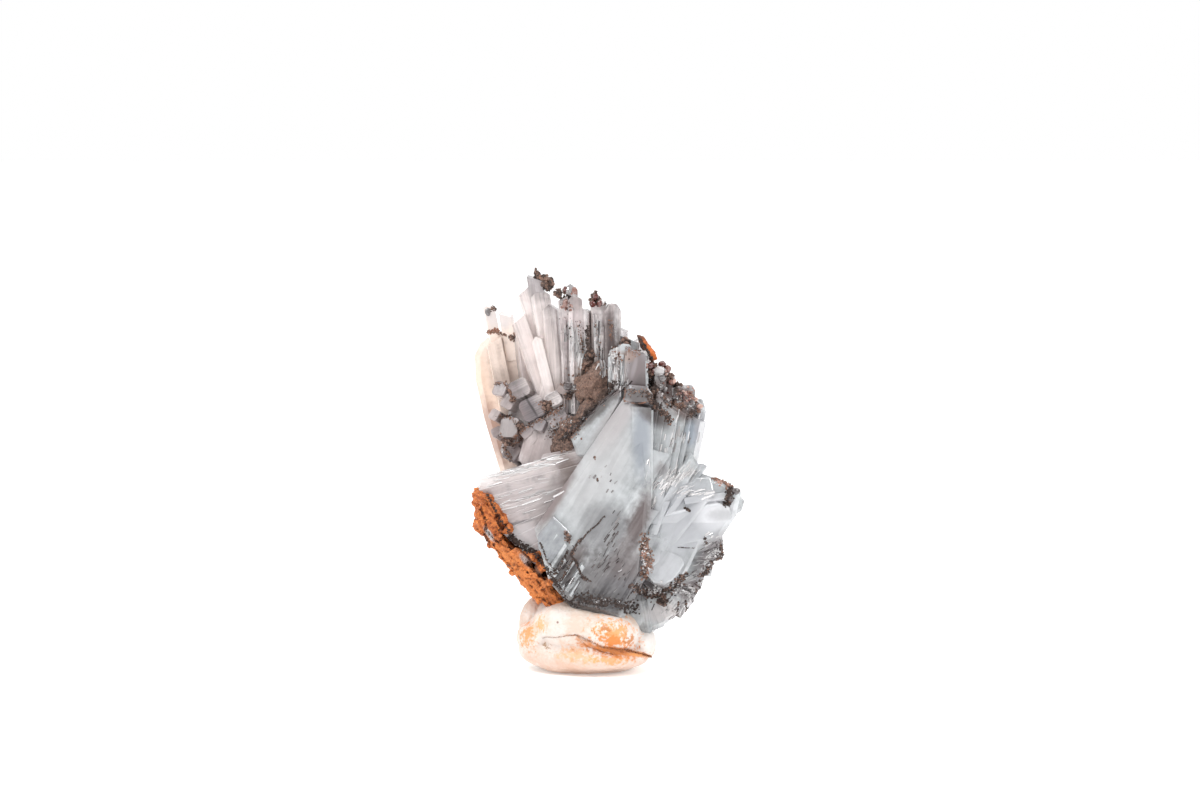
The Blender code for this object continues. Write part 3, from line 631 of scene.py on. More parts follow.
def skyline_columns():
    return [
        blade((-2.8, 7.4, 33.0), (-7.6, 8.8, 47.2), 2.4, 2.0, turn=-10, end=SLANT_LEFT, rim=0.3),
        blade((-4.4, 6.4, 31.0), (-8.6, 7.2, 43.6), 1.8, 1.7, turn=14, end=SLANT_LEFT),
        blade((-3.6, 5.2, 31.0), (-6.2, 5.9, 41.6), 1.4, 1.6, turn=-12),
        blade((-3.4, 6.6, 33.0), (-6.0, 7.8, 46.9), 2.5, 2.2, turn=8, end=BLUNT, rim=0.3),
        blade((-5.7, 7.6, 43.0), (-6.5, 7.6, 48.9), 1.9, 1.5, turn=-6, end=SLANT_RIGHT, tone=HAZY),
        blade((-5.2, 6.9, 41.0), (-6.6, 7.1, 45.0), 0.7, 0.6, turn=20, end=POINT, tone=FRESH),
        blade((-0.5, 3.9, 44.4), (-1.7, 3.7, 47.2), 0.7, 0.6, turn=10, end=BLUNT, tone=FRESH),
        blade((-3.6, 5.6, 33.0), (-4.5, 6.6, 45.6), 2.0, 1.8, turn=-14, rim=0.2),
        blade((-2.0, 4.2, 32.0), (-2.8, 4.6, 46.4), 1.3, 1.7, turn=-8, end=SLANT_LEFT),
        blade((-0.9, 3.6, 31.0), (-1.5, 4.2, 46.6), 1.8, 1.9, turn=6, end=BLUNT),
        blade((0.4, 3.6, 31.0), (-0.1, 4.1, 45.2), 1.3, 1.7, turn=-16),
        blade((1.6, 3.6, 31.0), (1.5, 4.2, 46.2), 1.9, 1.7, turn=4, end=WEDGE),
        blade((3.3, 2.6, 31.0), (3.3, 3.2, 45.9), 2.1, 1.8, turn=8, end=ROUNDED, rim=0.25),
        blade((4.6, 3.6, 31.0), (4.6, 4.2, 42.6), 1.3, 1.6, turn=-6, end=SLANT_RIGHT),
        blade((-2.6, 3.2, 32.0), (-2.9, 3.4, 44.2), 0.5, 0.6, turn=30, end=POINT),
        blade((-1.5, 2.7, 32.0), (-1.9, 3.0, 45.4), 0.6, 0.6, turn=-20, end=BLUNT),
        blade((-0.5, 2.7, 32.0), (-0.8, 2.9, 43.8), 0.5, 0.5, turn=38, end=CHISEL),
        blade((0.3, 2.7, 32.0), (0.2, 2.9, 41.6), 0.5, 0.6, turn=-34, end=SLANT_LEFT),
        blade((1.3, 2.8, 32.0), (1.1, 3.0, 44.6), 0.5, 0.5, turn=24, end=CHISEL),
        blade((2.1, 2.8, 32.0), (2.1, 3.0, 43.0), 0.6, 0.5, turn=-28, end=BLUNT),
    ]


def stepped_blocks():
    """Stubby crystals that point to the front, each as (across, depth, height), width, turn and tone."""
    made = []
    for (x, y, z), size, turn, tone in (
        ((-11.0, 6.6, 34.9), 1.9, 28, HAZY),
        ((-8.6, 6.0, 34.9), 2.7, -22, -1.6),
        ((-9.9, 6.0, 33.3), 1.9, 12, 0.5),
        ((-6.8, 4.3, 32.6), 3.1, -24, -2.0),
        ((-2.7, 2.8, 35.3), 1.8, 14, SMOKY),
        ((-4.1, 3.2, 33.9), 2.0, -24, FRESH),
        ((-3.6, 2.6, 31.5), 2.5, -20, -1.5),
        ((-2.2, 2.3, 31.2), 1.4, 16, 0.5),
        ((-9.8, 5.0, 30.1), 2.7, 38, -1.9),
        ((-9.6, 5.0, 28.6), 1.8, -8, HAZY),
        ((-11.7, 6.4, 31.6), 1.4, 14, 0.0),
        ((-11.4, 6.4, 29.4), 1.4, -22, HAZY),
        ((-9.5, 5.6, 26.9), 2.2, 16, -1.9),
        ((-7.6, 3.9, 29.6), 1.5, -8, HAZY),
        ((-5.9, 3.3, 30.6), 1.6, 22, -1.9),
        ((-6.9, 3.6, 28.7), 1.4, 8, HAZY),
        ((-2.4, 2.0, 29.6), 1.6, -16, 0.0),
    ):
        foot = Vector((x + 1.9, y + 4.2, z - 1.6))
        finish = {"rim": 0.14 * size, "edge": 0.1, "round_steps": 2, "ridge": 0.02, "tone": tone}
        made.append(blade(foot, (x, y, z), size, size * 0.92, turn=turn, end=FLAT_END, **finish))
    return made


def rear_blades():
    made = sheaf(
        feet=((-4.4, 8.4, 15.0), (4.6, 5.6, 15.0)),
        tips=((-8.2, 11.0, 42.0), (6.8, 7.8, 40.2)),
        count=8,
        width=2.2,
        thickness=2.2,
        seed=21,
        spread=1.6,
        turn=12,
    )
    made += [
        blade((-2.6, 6.8, 35.4), (-5.9, 4.4, 24.4), 5.6, 4.2, turn=14, end=BLUNT, rim=0.6),
        blade((-0.6, 6.6, 34.6), (-2.4, 5.0, 22.0), 5.6, 4.6, turn=-8, end=BLUNT, rim=0.6),
        blade((-6.6, 8.8, 35.0), (-8.6, 7.2, 25.6), 4.6, 3.4, turn=20, end=BLUNT, rim=0.5),
    ]
    fans = (
        (-8.6, 25.0, 5.0, 18),
        (-5.8, 30.0, 4.4, -14),
        (-3.2, 33.0, 5.4, -12),
        (2.6, 36.0, 5.2, 10),
        (8.2, 33.4, 4.6, -16),
        (12.4, 26.4, 4.0, 14),
        (14.0, 19.6, 3.6, -8),
    )
    for place, (across, height, width, turn) in enumerate(fans):
        foot = Vector((1.2 + 0.19 * place, 3.6, 10.0 + 0.13 * place))
        tip = Vector((across, 9.6 - 0.12 * abs(across), height))
        beside = (tip - foot).cross(FRONT).normalized() * width * 0.36
        near, far = (foot - beside * 0.3, foot + beside * 0.3), (tip - beside, tip + beside)
        made += sheaf(near, far, 4, width * 0.34, 2.6, seed=30 + place, spread=1.4, turn=turn)
    return made


# ---------------------------------------------------------------- left crystals


def left_crystals():
    """Near-level blades in pairs: right and left end, width, turn, and how far the rear tip falls short."""
    pairs = (
        ((-1.6, 25.9), (-13.5, 22.4), 2.3, 10, 2.0),
        ((-1.8, 24.5), (-13.0, 21.6), 1.9, -8, 0.0),
        ((-2.2, 23.3), (-12.2, 20.4), 1.8, 14, 0.9),
        ((-2.8, 22.2), (-11.2, 19.2), 1.7, -10, -0.3),
        ((-3.2, 21.0), (-10.3, 18.0), 1.8, 8, 0.7),
        ((-3.6, 19.7), (-9.6, 16.9), 1.7, -12, -0.2),
        ((-3.8, 18.2), (-8.4, 15.8), 1.8, 6, 1.0),
        ((-3.6, 16.6), (-7.2, 14.2), 2.0, -8, 0.1),
    )
    fine = {"pitch": 0.3, "ridge": 0.018}
    made = []
    for place, ((right_x, right_z), (left_x, left_z), width, turn, short) in enumerate(pairs):
        near_foot = (right_x + 1.6, 1.0, right_z + 0.4)
        near_tip = (left_x, 0.2 + 0.18 * (left_z - 14), left_z)
        far_foot = (right_x, 4.6, right_z - 0.6)
        far_tip = (left_x - 0.3 + short, 4.8, left_z - 0.3)
        near_end = SLANT_LEFT if place else SLANT_RIGHT
        far_end = FLAT_END if place % 2 else WEDGE
        made.append(blade(near_foot, near_tip, width + 0.8, 4.6, turn * 0.25, near_end, **fine))
        made.append(blade(far_foot, far_tip, width + 0.9, 4.0, -turn * 0.5, far_end))
    made.append(blade((-0.4, 0.8, 27.2), (-5.4, 1.0, 26.2), 1.6, 2.6, turn=8, end=BLUNT))
    return made


def cream_crystals():
    outline = (
        (-2.9, 12.4), (-1.9, 13.2), (-2.1, 17.0), (-6.6, 34.0), (-8.6, 41.2), (-11.6, 41.9),
        (-13.6, 40.4), (-14.4, 38.8), (-14.2, 35.4), (-13.1, 30.6), (-10.9, 23.4), (-5.4, 15.2),
    )
    smooth = {"pitch": 1.6, "ridge": 0.1, "edge": 0.3, "round_steps": 3}
    return [
        plate(outline, 11.3, 2.4, lean=0.16, rim=0.8, turn=-8, grain=-18, **smooth),
        blade((-2.0, 5.6, 9.6), (-11.0, 13.9, 40.0), 4.2, 1.8, turn=-14, rim=0.4, pitch=1.2),
        blade((-8.6, 9.8, 25.0), (-11.9, 11.6, 40.4), 2.0, 1.6, turn=6, end=SLANT_LEFT),
        blade((-11.2, 12.2, 38.0), (-12.6, 12.0, 45.0), 1.4, 1.3, turn=10, end=BLUNT),
        blade((-9.4, 12.2, 38.0), (-10.3, 12.0, 44.0), 1.5, 1.3, turn=-12, end=SLANT_RIGHT),
    ]


# ---------------------------------------------------------------- materials


def crystal_look(
    name,
    milk,
    deep,
    clear,
    tints=(),
    windows=(),
    calm=(),
    streak=1.0,
    shards=0.3,
    variety=0.1,
    rough=0.28,
    smoke=(0.14, 0.118, 0.13),
):
    """Striated barite, milky with clear bands and windows in it.

    milk and deep are its palest and darkest, clear the share that is see-through, and smoke the colour of its
    smoky crystals. tints are discolourations, and in places painted highlight or painted shade, as (centre,
    radii, turn, strength, tint), which fresh crystals are free of, windows are clearer places, as (centre,
    radii, turn, share), and calm places are smooth, as (centre, radii, turn).
    streak says how plain the lines along the growth are, shards how broken it is, and variety how much its
    crystals differ.
    """
    look = Look(name)
    growth = look.node("ShaderNodeUVMap", {"uv_map": "growth"})
    tone = look.tone()
    smoky = tone.ramp(SMOKY, -1.2, 1.0, 0.0)
    fresh = tone.ramp(1.2, 1.6)
    lively = 1.0
    for centre, radii, turn in calm:
        lively = lively * (1.0 - look.patch(centre, radii, turn, edge=0.4) * 0.85)
    clouds = (look.noise(look.place, 0.3, detail=4.0) - 0.5) * (lively * 0.7 + 0.3)
    mist = (look.noise(look.place, 1.4, detail=3.0) - 0.5) * (lively * 0.8 + 0.2)
    chips = look.cells(growth, (2.6, 0.8, 1))
    chip = look.axis(chips.also("Color"), "X") - 0.5
    fibres = (look.noise(growth, (4.5, 0.22, 1), flat=True) - 0.5) * lively * streak
    bands = (look.noise(growth, (0.8, 0.05, 1), flat=True, detail=2.0) - 0.5) * (lively * 0.6 + 0.4) * streak
    broken = (clouds + mist * 0.5).ramp(-0.12, 0.2) * shards * lively
    light = clouds * 0.65 + mist * 0.35 + bands * 0.6 + fibres * 0.35 + tone * variety + chip * broken * 0.5
    colour = look.blend((light + 0.72).ramp(0.25, 1.0), deep, milk)
    colour = look.blend(smoky * (0.9 - bands * 0.8), colour, smoke)
    ragged = clouds * 0.8 + fibres * 0.4 + mist * 0.6
    colour, stain_and_light_mask = look.lay_stains_and_light(colour, tints, ragged, 1.0 - fresh)
    relief = look.bump(fibres * 0.5 + bands + chips * broken * 1.2, 0.07)
    milky = look.principled(
        Base_Color=colour,
        Roughness=rough,
        Normal=relief,
        IOR=BARITE_IOR,
        Transmission_Weight=0.12,
        Coat_Weight=0.7,
        Coat_Roughness=0.05,
    )
    glassy = look.principled(
        Base_Color=look.blend(0.35, (0.99, 0.99, 1.0), colour),
        Roughness=0.04,
        Normal=relief,
        IOR=BARITE_IOR,
        Transmission_Weight=1.0,
    )
    share = (clear - clouds * 1.3 - mist * 0.5 + bands + fibres * 0.5).ramp(0.0, 0.9)
    share = share * (1.0 - smoky * 0.6)
    if tints:
        share = share * (1.0 - stain_and_light_mask * 0.85)
    for centre, radii, turn, strength in windows:
        share = share.most(look.patch(centre, radii, turn, edge=0.3, ragged=mist) * strength)
    both = look.node("ShaderNodeMixShader", None, {0: share, 1: milky, 2: glassy})
    absorb = look.node("ShaderNodeVolumeAbsorption", None, {"Color": (0.84, 0.87, 0.89), "Density": 90.0})
    return look.finish(both, absorb)


def splinter_look(name, dark, pale):
    """Small splinters or beads of barite, from dark to pale."""
    look = Look(name)
    colour = look.blend(look.tone().ramp(-1.0, 0.9), dark, pale)
    return look.finish(
        look.principled(
            Base_Color=colour,
            Roughness=0.12,
            IOR=BARITE_IOR,
            Transmission_Weight=0.25,
            Coat_Weight=0.5,
            Coat_Roughness=0.05,
        )
    )


def earthy_look(name, light, dark, accent, scale=1.6, hollow_shade=(0.02, 0.014, 0.012), stains_and_highlights=()):
    """Grainy, earthy matter. Grains differ by their tone, and the rest by noise. Its hollows get painted
    shade.
    """
    look = Look(name)
    tone = look.tone()
    coarse = look.noise(look.place, scale, detail=4.0)
    specks = look.noise(look.place, scale * 4.0, detail=2.0)
    colour = look.blend((coarse * 0.7 + specks * 0.3 + tone * 0.2).ramp(0.36, 0.66), dark, light)
    colour = look.blend((specks + tone * 0.08).ramp(0.62, 0.72), colour, accent)
    colour, _ = look.lay_stains_and_light(colour, stains_and_highlights, specks - 0.5)
    return look.finish(
        look.principled(
            # painted shade: a darker colour in the hollows, where the mesh curves inward
            Base_Color=look.shade_hollows(colour, 0.42, 0.49, 0.9, hollow_shade),
            Roughness=specks.ramp(0.3, 0.7) * 0.35 + 0.45,
            Normal=look.bump(coarse + specks * 0.8, 0.14),
        )
    )


# Marks on the putty, discolourations and painted shade along its bottom: centre, radii, turn, strength, how
# speckled and tint.
PUTTY_STAINS_AND_SHADE = (
    # painted shade: darker and more orange along the bottom
    ((0.0, -5.0, 1.0), (9.0, 6.0, 2.4), 0, 0.45, 0.8, (0.70, 0.41, 0.28)),
    ((7.4, -3.0, 4.2), (1.8, 5.0, 1.8), 0, 0.85, 0.4, (0.80, 0.765, 0.74)),
    ((-6.8, -5.0, 5.8), (0.9, 4.0, 1.2), 20, 0.4, 1.6, (0.86, 0.56, 0.36)),
    ((-1.2, -6.0, 2.8), (1.7, 4.0, 0.7), 5, 0.6, 2.2, (0.88, 0.45, 0.20)),
    ((3.4, -6.0, 2.3), (1.7, 4.0, 0.5), 6, 0.75, 2.0, (0.88, 0.36, 0.11)),
    ((3.7, -6.0, 5.3), (2.0, 4.0, 1.5), 30, 0.85, 2.4, (0.86, 0.33, 0.08)),
    ((3.2, -6.0, 4.6), (1.6, 4.0, 0.7), 20, 0.95, 1.8, (0.74, 0.24, 0.05)),
    ((5.5, -6.0, 4.6), (0.6, 4.0, 0.5), 20, 0.8, 3.0, (0.50, 0.19, 0.06)),
    ((2.4, -6.0, 6.2), (0.4, 4.0, 0.3), 20, 0.8, 3.0, (0.50, 0.19, 0.06)),
    ((0.6, -6.0, 4.1), (1.9, 4.0, 0.4), 27, 0.8, 1.6, (0.66, 0.30, 0.14)),
    ((3.8, -6.0, 3.2), (3.6, 4.0, 0.6), 12, 0.95, 1.2, (0.62, 0.21, 0.05)),
    ((6.8, -6.0, 2.6), (1.6, 4.0, 0.26), 14, 0.9, 0.6, (0.78, 0.34, 0.11)),
    ((-7.4, -3.0, 4.6), (0.8, 4.0, 1.2), 0, 0.9, 2.2, (0.80, 0.32, 0.10)),
    ((-5.7, -5.0, 6.4), (0.5, 4.0, 0.7), 20, 0.8, 2.2, (0.88, 0.40, 0.12)),
    ((-5.0, -6.0, 3.6), (0.4, 4.0, 0.24), 20, 0.9, 3.0, (0.34, 0.20, 0.10)),
    ((-3.5, -6.0, 6.9), (0.14, 4.0, 0.14), 0, 0.9, 0.3, (0.24, 0.12, 0.08)),
    ((0.0, 6.0, 4.0), (4.0, 4.0, 1.8), 20, 0.6, 2.4, (0.84, 0.42, 0.16)),
    ((7.0, 5.5, 3.0), (2.0, 2.5, 1.2), 20, 0.5, 2.4, (0.84, 0.46, 0.20)),
)


def putty_look():
    look = Look("kneaded putty")
    broad = look.noise(look.place, 0.35) - 0.5
    fine = look.noise(look.place, 2.6, detail=5.0) - 0.5
    specks = look.noise(look.place, 5.0, detail=2.0) - 0.5
    blotches = look.noise(look.place, 1.2, detail=3.0) - 0.5
    colour = look.blend((broad + fine * 0.5 + 0.5).ramp(0.3, 0.65), (0.71, 0.56, 0.465), (0.77, 0.695, 0.645))
    for centre, radii, turn, strength, speckled, tint in PUTTY_STAINS_AND_SHADE:
        ragged = (fine * 1.7 + blotches * 1.7 + specks * 0.9) * speckled
        colour = look.blend(look.patch(centre, radii, turn, edge=0.6, ragged=ragged) * strength, colour, tint)
    return look.finish(
        look.principled(
            # painted shade: the folds and cracks darken to brown where the mesh curves inward
            Base_Color=look.shade_hollows(colour, 0.40, 0.47, 0.85, (0.30, 0.13, 0.07)),
            Roughness=fine * 0.4 + 0.55,
            Normal=look.bump(fine + broad, 0.16),
        )
    )


def pale_blue_barite():
    return crystal_look(
        "pale blue barite",
        milk=(0.63, 0.655, 0.67),
        deep=(0.36, 0.375, 0.39),
        clear=0.28,
        shards=0.5,
        streak=0.7,
        smoke=(0.27, 0.28, 0.31),
        calm=(
            ((13.6, -2, 19.4), (5.5, 8, 6.0), 10),
            ((1.8, -4, 25.0), (4.6, 6, 9.6), 33),
            ((10.4, -1, 28.6), (3.4, 6, 5.0), 10),
            ((6.4, -1, 38.0), (1.6, 3, 3.4), 0),
        ),
        tints=(
            ((3.6, -4, 31.4), (1.4, 6, 4.4), 33, 0.85, (0.40, 0.365, 0.37)),
            ((1.4, -4, 25.6), (3.0, 6, 6.2), 33, 0.6, (0.52, 0.51, 0.515)),
            ((-2.5, -4, 13.2), (1.4, 6, 3.2), 33, 0.95, (0.035, 0.025, 0.022)),
            ((-1.5, -4, 14.4), (1.0, 6, 3.2), 33, 0.6, (0.13, 0.09, 0.08)),
            ((1.0, -1, 32.7), (6.4, 4, 0.85), -43, 0.9, (0.055, 0.04, 0.035)),
            ((6.9, -5, 29.6), (1.2, 4, 4.6), 0, 0.9, (0.265, 0.29, 0.33)),
            ((-3.9, -4, 22.0), (0.9, 5, 4.8), 31, 0.9, (0.19, 0.135, 0.13)),
            ((12.6, -2, 19.6), (4.6, 6, 4.6), 0, 0.75, (0.46, 0.465, 0.495)),
            # painted light: the right side of the lobe made paler, as where light falls on it
            ((16.2, -1, 20.2), (2.4, 6, 2.4), 0, 0.7, (0.80, 0.80, 0.83)),
            ((2.6, -4, 18.0), (3.6, 6, 3.4), 25, 0.8, (0.175, 0.17, 0.178)),
            ((2.6, -4, 12.0), (5.0, 6, 3.8), 0, 0.9, (0.10, 0.088, 0.09)),
            ((6.6, -4, 19.6), (1.2, 6, 3.6), 20, 0.95, (0.105, 0.074, 0.072)),
            ((5.2, -4, 14.4), (2.2, 6, 3.0), 10, 0.7, (0.16, 0.13, 0.13)),
            ((15.7, 0, 14.6), (1.5, 6, 3.4), 28, 0.85, (0.15, 0.115, 0.12)),
            ((8.9, -1, 10.6), (3.4, 6, 1.2), -10, 0.85, (0.09, 0.065, 0.06)),
            ((13.0, 0, 10.2), (1.6, 6, 1.8), 0, 0.8, (0.115, 0.07, 0.07)),
            ((10.7, 0, 7.4), (3.2, 6, 1.5), 0, 0.85, (0.74, 0.70, 0.70)),
            ((4.6, -3, 10.2), (3.2, 6, 2.2), 0, 0.8, (0.11, 0.105, 0.115)),
            ((1.6, -3, 9.2), (4.4, 6, 1.8), 0, 0.95, (0.035, 0.03, 0.032)),
            ((12.5, -1, 32.8), (2.0, 5, 1.4), 15, 0.85, (0.10, 0.06, 0.05)),
            ((8.0, -1, 32.6), (3.2, 5, 1.1), 35, 0.9, (0.06, 0.042, 0.04)),
            ((13.1, -1, 30.0), (0.8, 4, 1.6), 0, 0.6, (0.36, 0.42, 0.50)),
            ((14.3, 0, 29.6), (0.8, 5, 3.6), 0, 0.8, (0.34, 0.335, 0.37)),
            ((9.4, -2, 25.6), (1.0, 5, 1.0), 20, 0.7, (0.20, 0.18, 0.185)),
            ((3.8, -1, 38.0), (1.2, 3, 2.4), 0, 0.75, (0.44, 0.30, 0.27)),
            ((6.4, -1, 37.4), (1.5, 3, 3.4), 0, 0.9, (0.22, 0.17, 0.172)),
            ((5.2, -1, 39.6), (1.0, 3, 0.7), 0, 0.7, (0.40, 0.27, 0.22)),
            ((6.9, -1, 36.2), (0.8, 3, 1.3), 10, 0.7, (0.13, 0.105, 0.108)),
            ((6.0, -1, 38.2), (0.3, 3, 1.4), 14, 0.6, (0.42, 0.38, 0.39)),
            ((6.6, -3, 34.9), (1.9, 4, 1.1), 0, 0.9, (0.06, 0.044, 0.042)),
            ((11.0, -1, 35.0), (3.6, 5, 2.0), 20, 0.9, (0.17, 0.115, 0.105)),
            ((10.0, -5, 13.4), (2.5, 3, 2.3), 0, 0.8, (0.50, 0.505, 0.53)),
        ),
        windows=(
            ((6.4, 0, 38.0), (1.6, 3, 3.2), 0, 0.15),
            ((14.0, 0, 31.0), (1.0, 4, 2.6), 0, 0.15),
            ((16.6, 0, 20.0), (2.4, 4, 1.2), 0, 0.4),
        ),
    )


def colourless_barite():
    return crystal_look(
        "colourless barite",
        milk=(0.82, 0.745, 0.735),
        deep=(0.42, 0.36, 0.36),
        clear=0.36,
        shards=0.4,
        variety=0.2,
        tints=(
            ((-6.4, 8, 40.0), (3.0, 6, 7.4), -18, 0.85, (0.92, 0.815, 0.785)),
            ((-6.1, 5, 27.4), (3.0, 6, 2.2), 0, 0.85, (0.52, 0.44, 0.43)),
            ((-10.4, 6, 31.0), (2.6, 4, 4.0), -20, 0.7, (0.33, 0.25, 0.24)),
            ((-3.1, 3, 34.8), (1.9, 4, 1.2), 0, 0.5, (0.30, 0.20, 0.165)),
            ((-1.6, 4, 43.0), (1.6, 5, 2.6), 0, 0.7, (0.72, 0.62, 0.62)),
            ((-7.0, 4, 32.9), (0.16, 6, 1.6), -33, 0.95, (0.04, 0.03, 0.03)),
            ((3.0, 6, 13.0), (7.0, 6, 4.6), 0, 0.8, (0.30, 0.20, 0.15)),
            ((-6.4, 8, 47.8), (1.1, 4, 1.2), 0, 0.7, (0.42, 0.37, 0.38)),
            ((0.2, 3.5, 37.0), (1.6, 6, 2.8), 0, 0.85, (0.20, 0.14, 0.11)),
            ((0.5, 4.0, 41.4), (0.35, 5, 4.0), 0, 0.8, (0.16, 0.10, 0.085)),
            ((-1.4, 4.0, 45.9), (1.2, 5, 0.8), 0, 0.6, (0.34, 0.27, 0.26)),
            ((3.0, 3.0, 41.6), (1.0, 4, 4.2), 0, 0.95, (0.11, 0.08, 0.078)),
            ((-9.9, 5.0, 30.1), (1.5, 4, 1.7), 0, 0.8, (0.18, 0.145, 0.14)),
        ),
        windows=(((3.9, 3, 43.6), (0.5, 4, 2.6), 0, 0.5),),
    )


def white_barite():
    return crystal_look(
        "white barite",
        milk=(0.53, 0.465, 0.46),
        deep=(0.40, 0.35, 0.355),
        clear=0.05,
        shards=0.2,
        streak=0.8,
        tints=(
            # painted highlight: a paler band along the top edge and a bright patch at its left end
            ((-8.3, 1, 25.0), (5.2, 6, 0.7), -19, 0.7, (0.72, 0.64, 0.625)),
            ((-12.8, 1, 23.8), (1.8, 6, 0.9), -19, 0.8, (0.92, 0.88, 0.87)),
            ((-2.2, 1, 25.2), (1.8, 6, 2.4), 0, 0.9, (0.115, 0.07, 0.056)),
            # painted shade: a dark line under a ledge
            ((-8.4, 0, 18.7), (2.4, 6, 0.22), -14, 0.8, (0.12, 0.10, 0.105)),
            ((-8.0, 0, 16.4), (3.2, 6, 0.7), 45, 0.9, (0.07, 0.06, 0.055)),
            # painted shade: a greyer band below that ledge
            ((-7.5, 0, 17.2), (2.6, 6, 1.4), -14, 0.75, (0.53, 0.49, 0.50)),
            ((-4.4, 0, 21.6), (1.4, 6, 3.4), 30, 0.6, (0.30, 0.26, 0.255)),
        ),
    )


def cream_barite():
    return crystal_look(
        "cream barite",
        milk=(0.90, 0.755, 0.665),
        deep=(0.74, 0.585, 0.50),
        clear=0.0,
        streak=0.3,
        shards=0.0,
        rough=0.4,
        tints=(
            ((-13.2, 11, 32.0), (1.8, 6, 9.0), -14, 0.7, (0.90, 0.66, 0.51)),
            ((-10.2, 10, 35.2), (1.8, 6, 2.0), 0, 0.6, (0.46, 0.36, 0.31)),
            ((-12.0, 10, 29.2), (1.3, 6, 4.4), -20, 0.9, (0.40, 0.235, 0.18)),
            ((-11.2, 12, 43.9), (2.4, 6, 1.7), 0, 0.85, (0.72, 0.66, 0.65)),
        ),
    )


def brown_oxide():
    return earthy_look(
        "brown iron oxide",
        light=(0.28, 0.178, 0.138),
        dark=(0.055, 0.036, 0.03),
        accent=(0.34, 0.12, 0.06),
        scale=3.0,
        stains_and_highlights=(((0.4, 0, 35.6), (1.8, 6, 2.2), 10, 0.4, (0.37, 0.235, 0.18)),),
    )


def rusty_dirt():
    return earthy_look(
        "rusty dirt",
        light=(0.60, 0.25, 0.10),
        dark=(0.24, 0.085, 0.04),
        accent=(0.70, 0.30, 0.08),
        scale=3.0,
    )


def orange_limonite():
    return earthy_look(
        "orange limonite",
        light=(0.74, 0.235, 0.055),
        dark=(0.38, 0.095, 0.024),
        accent=(0.12, 0.045, 0.025),
        # painted shade: dark red-brown in the hollows between the nuggets
        hollow_shade=(0.12, 0.04, 0.02),
        stains_and_highlights=(
            # painted highlight: a lighter orange patch over the lower bark
            ((-8.2, -3.0, 12.6), (5.4, 5.0, 1.8), 40, 0.35, (0.86, 0.33, 0.10)),
            ((7.4, 0.0, 40.4), (2.0, 3.0, 4.2), -34, 0.9, (0.075, 0.035, 0.026)),
            ((8.1, 0.0, 40.1), (0.4, 3.0, 1.7), -34, 0.95, (0.66, 0.16, 0.03)),
            ((-12.1, -3.0, 17.5), (0.3, 3.0, 0.95), -31, 0.95, (0.66, 0.67, 0.68)),
            ((-12.7, -3.0, 16.6), (0.28, 4.0, 1.9), -31, 0.6, (0.30, 0.07, 0.02)),
            ((-8.2, -3.0, 16.4), (1.8, 3.0, 0.7), 30, 0.8, (0.05, 0.04, 0.036)),
            ((-6.4, -3.0, 13.4), (2.2, 3.0, 0.26), 52, 0.8, (0.07, 0.05, 0.045)),
            ((-7.6, -3.0, 14.2), (1.0, 3.0, 0.35), 52, 0.8, (0.38, 0.37, 0.37)),
            ((6.9, 0.0, 39.7), (0.6, 3.0, 2.6), -34, 0.95, (0.08, 0.04, 0.028)),
        ),
    )


# ---------------------------------------------------------------- oxide, limonite and putty


def oxide_body():
    body = copy_of("oxide_seam", "oxide_body")
    modify(body, "REMESH", mode="VOXEL", voxel_size=0.12)
    modify(body, "DISPLACE", texture=lumps("oxide lumps", size=1.3), strength=0.6, mid_level=0.6)
    modify(body, "DISPLACE", texture=lumps("oxide grains", size=0.22), strength=0.22, mid_level=0.5)
    return shrink(body)


def limonite_sliver():
    sliver = copy_of("limonite_splinter", "limonite_sliver")
    modify(sliver, "REMESH", mode="VOXEL", voxel_size=0.1)
    modify(sliver, "DISPLACE", texture=lumps("sliver grains", size=0.4), strength=0.25, mid_level=0.5)
    return shrink(sliver)


WAVE = 0.08  # how far a fold or crack winds about its course
WAVE_TURNS = 11  # how often it does, as an angle in radians over its length
FOLD_STEPS = 16  # the steps in which it is followed from one of its points to the next
EYE_SLOPE = math.radians(5)
SIGHT = Vector((0, math.cos(EYE_SLOPE), -math.sin(EYE_SLOPE)))

# Folds and cracks as they lie in the front view: points (across, up), half width and depth.
PUTTY_FOLDS = (
    (((-5.4, 4.2), (-4.4, 4.5), (-2.6, 4.6), (-1.3, 4.9)), 0.14, 0.4),
    (((-1.5, 4.9), (0.0, 4.2), (1.8, 3.4), (3.6, 3.1), (5.4, 2.6), (7.4, 2.1), (8.2, 1.9)), 0.28, 0.8),
    (((-1.3, 4.8), (-0.4, 3.9), (0.4, 3.3), (2.0, 2.6), (4.0, 2.3)), 0.12, 0.3),
    (((-2.2, 3.7), (-1.7, 3.0), (-1.2, 2.6)), 0.1, 0.25),
    (((-0.9, 2.6), (-1.5, 1.9), (-1.9, 1.4)), 0.1, 0.25),
    (((-5.9, 8.2), (-6.6, 7.0), (-7.2, 6.2)), 0.25, 0.4),
)
BARK_CRACKS = (
    (((-13.2, 20.4), (-12.6, 19.2), (-12.4, 17.6), (-11.4, 16.4), (-9.8, 15.6)), 0.2, 0.7),
    (((-12.9, 17.6), (-11.9, 15.4), (-10.4, 14.2)), 0.14, 0.5),
    (((-11.4, 18.2), (-10.4, 17.2), (-9.6, 16.8), (-8.3, 15.4), (-7.0, 14.2)), 0.24, 0.8),
    (((-7.2, 14.4), (-6.4, 12.6), (-4.8, 11.4), (-3.6, 10.4)), 0.22, 0.8),
    (((-8.4, 13.6), (-6.8, 12.0), (-5.4, 10.6)), 0.14, 0.4),
    (((-13.2, 21.6), (-12.2, 21.0), (-11.4, 19.6)), 0.14, 0.4),
    (((-7.4, 12.4), (-6.4, 12.6), (-5.6, 12.2)), 0.12, 0.4),
)

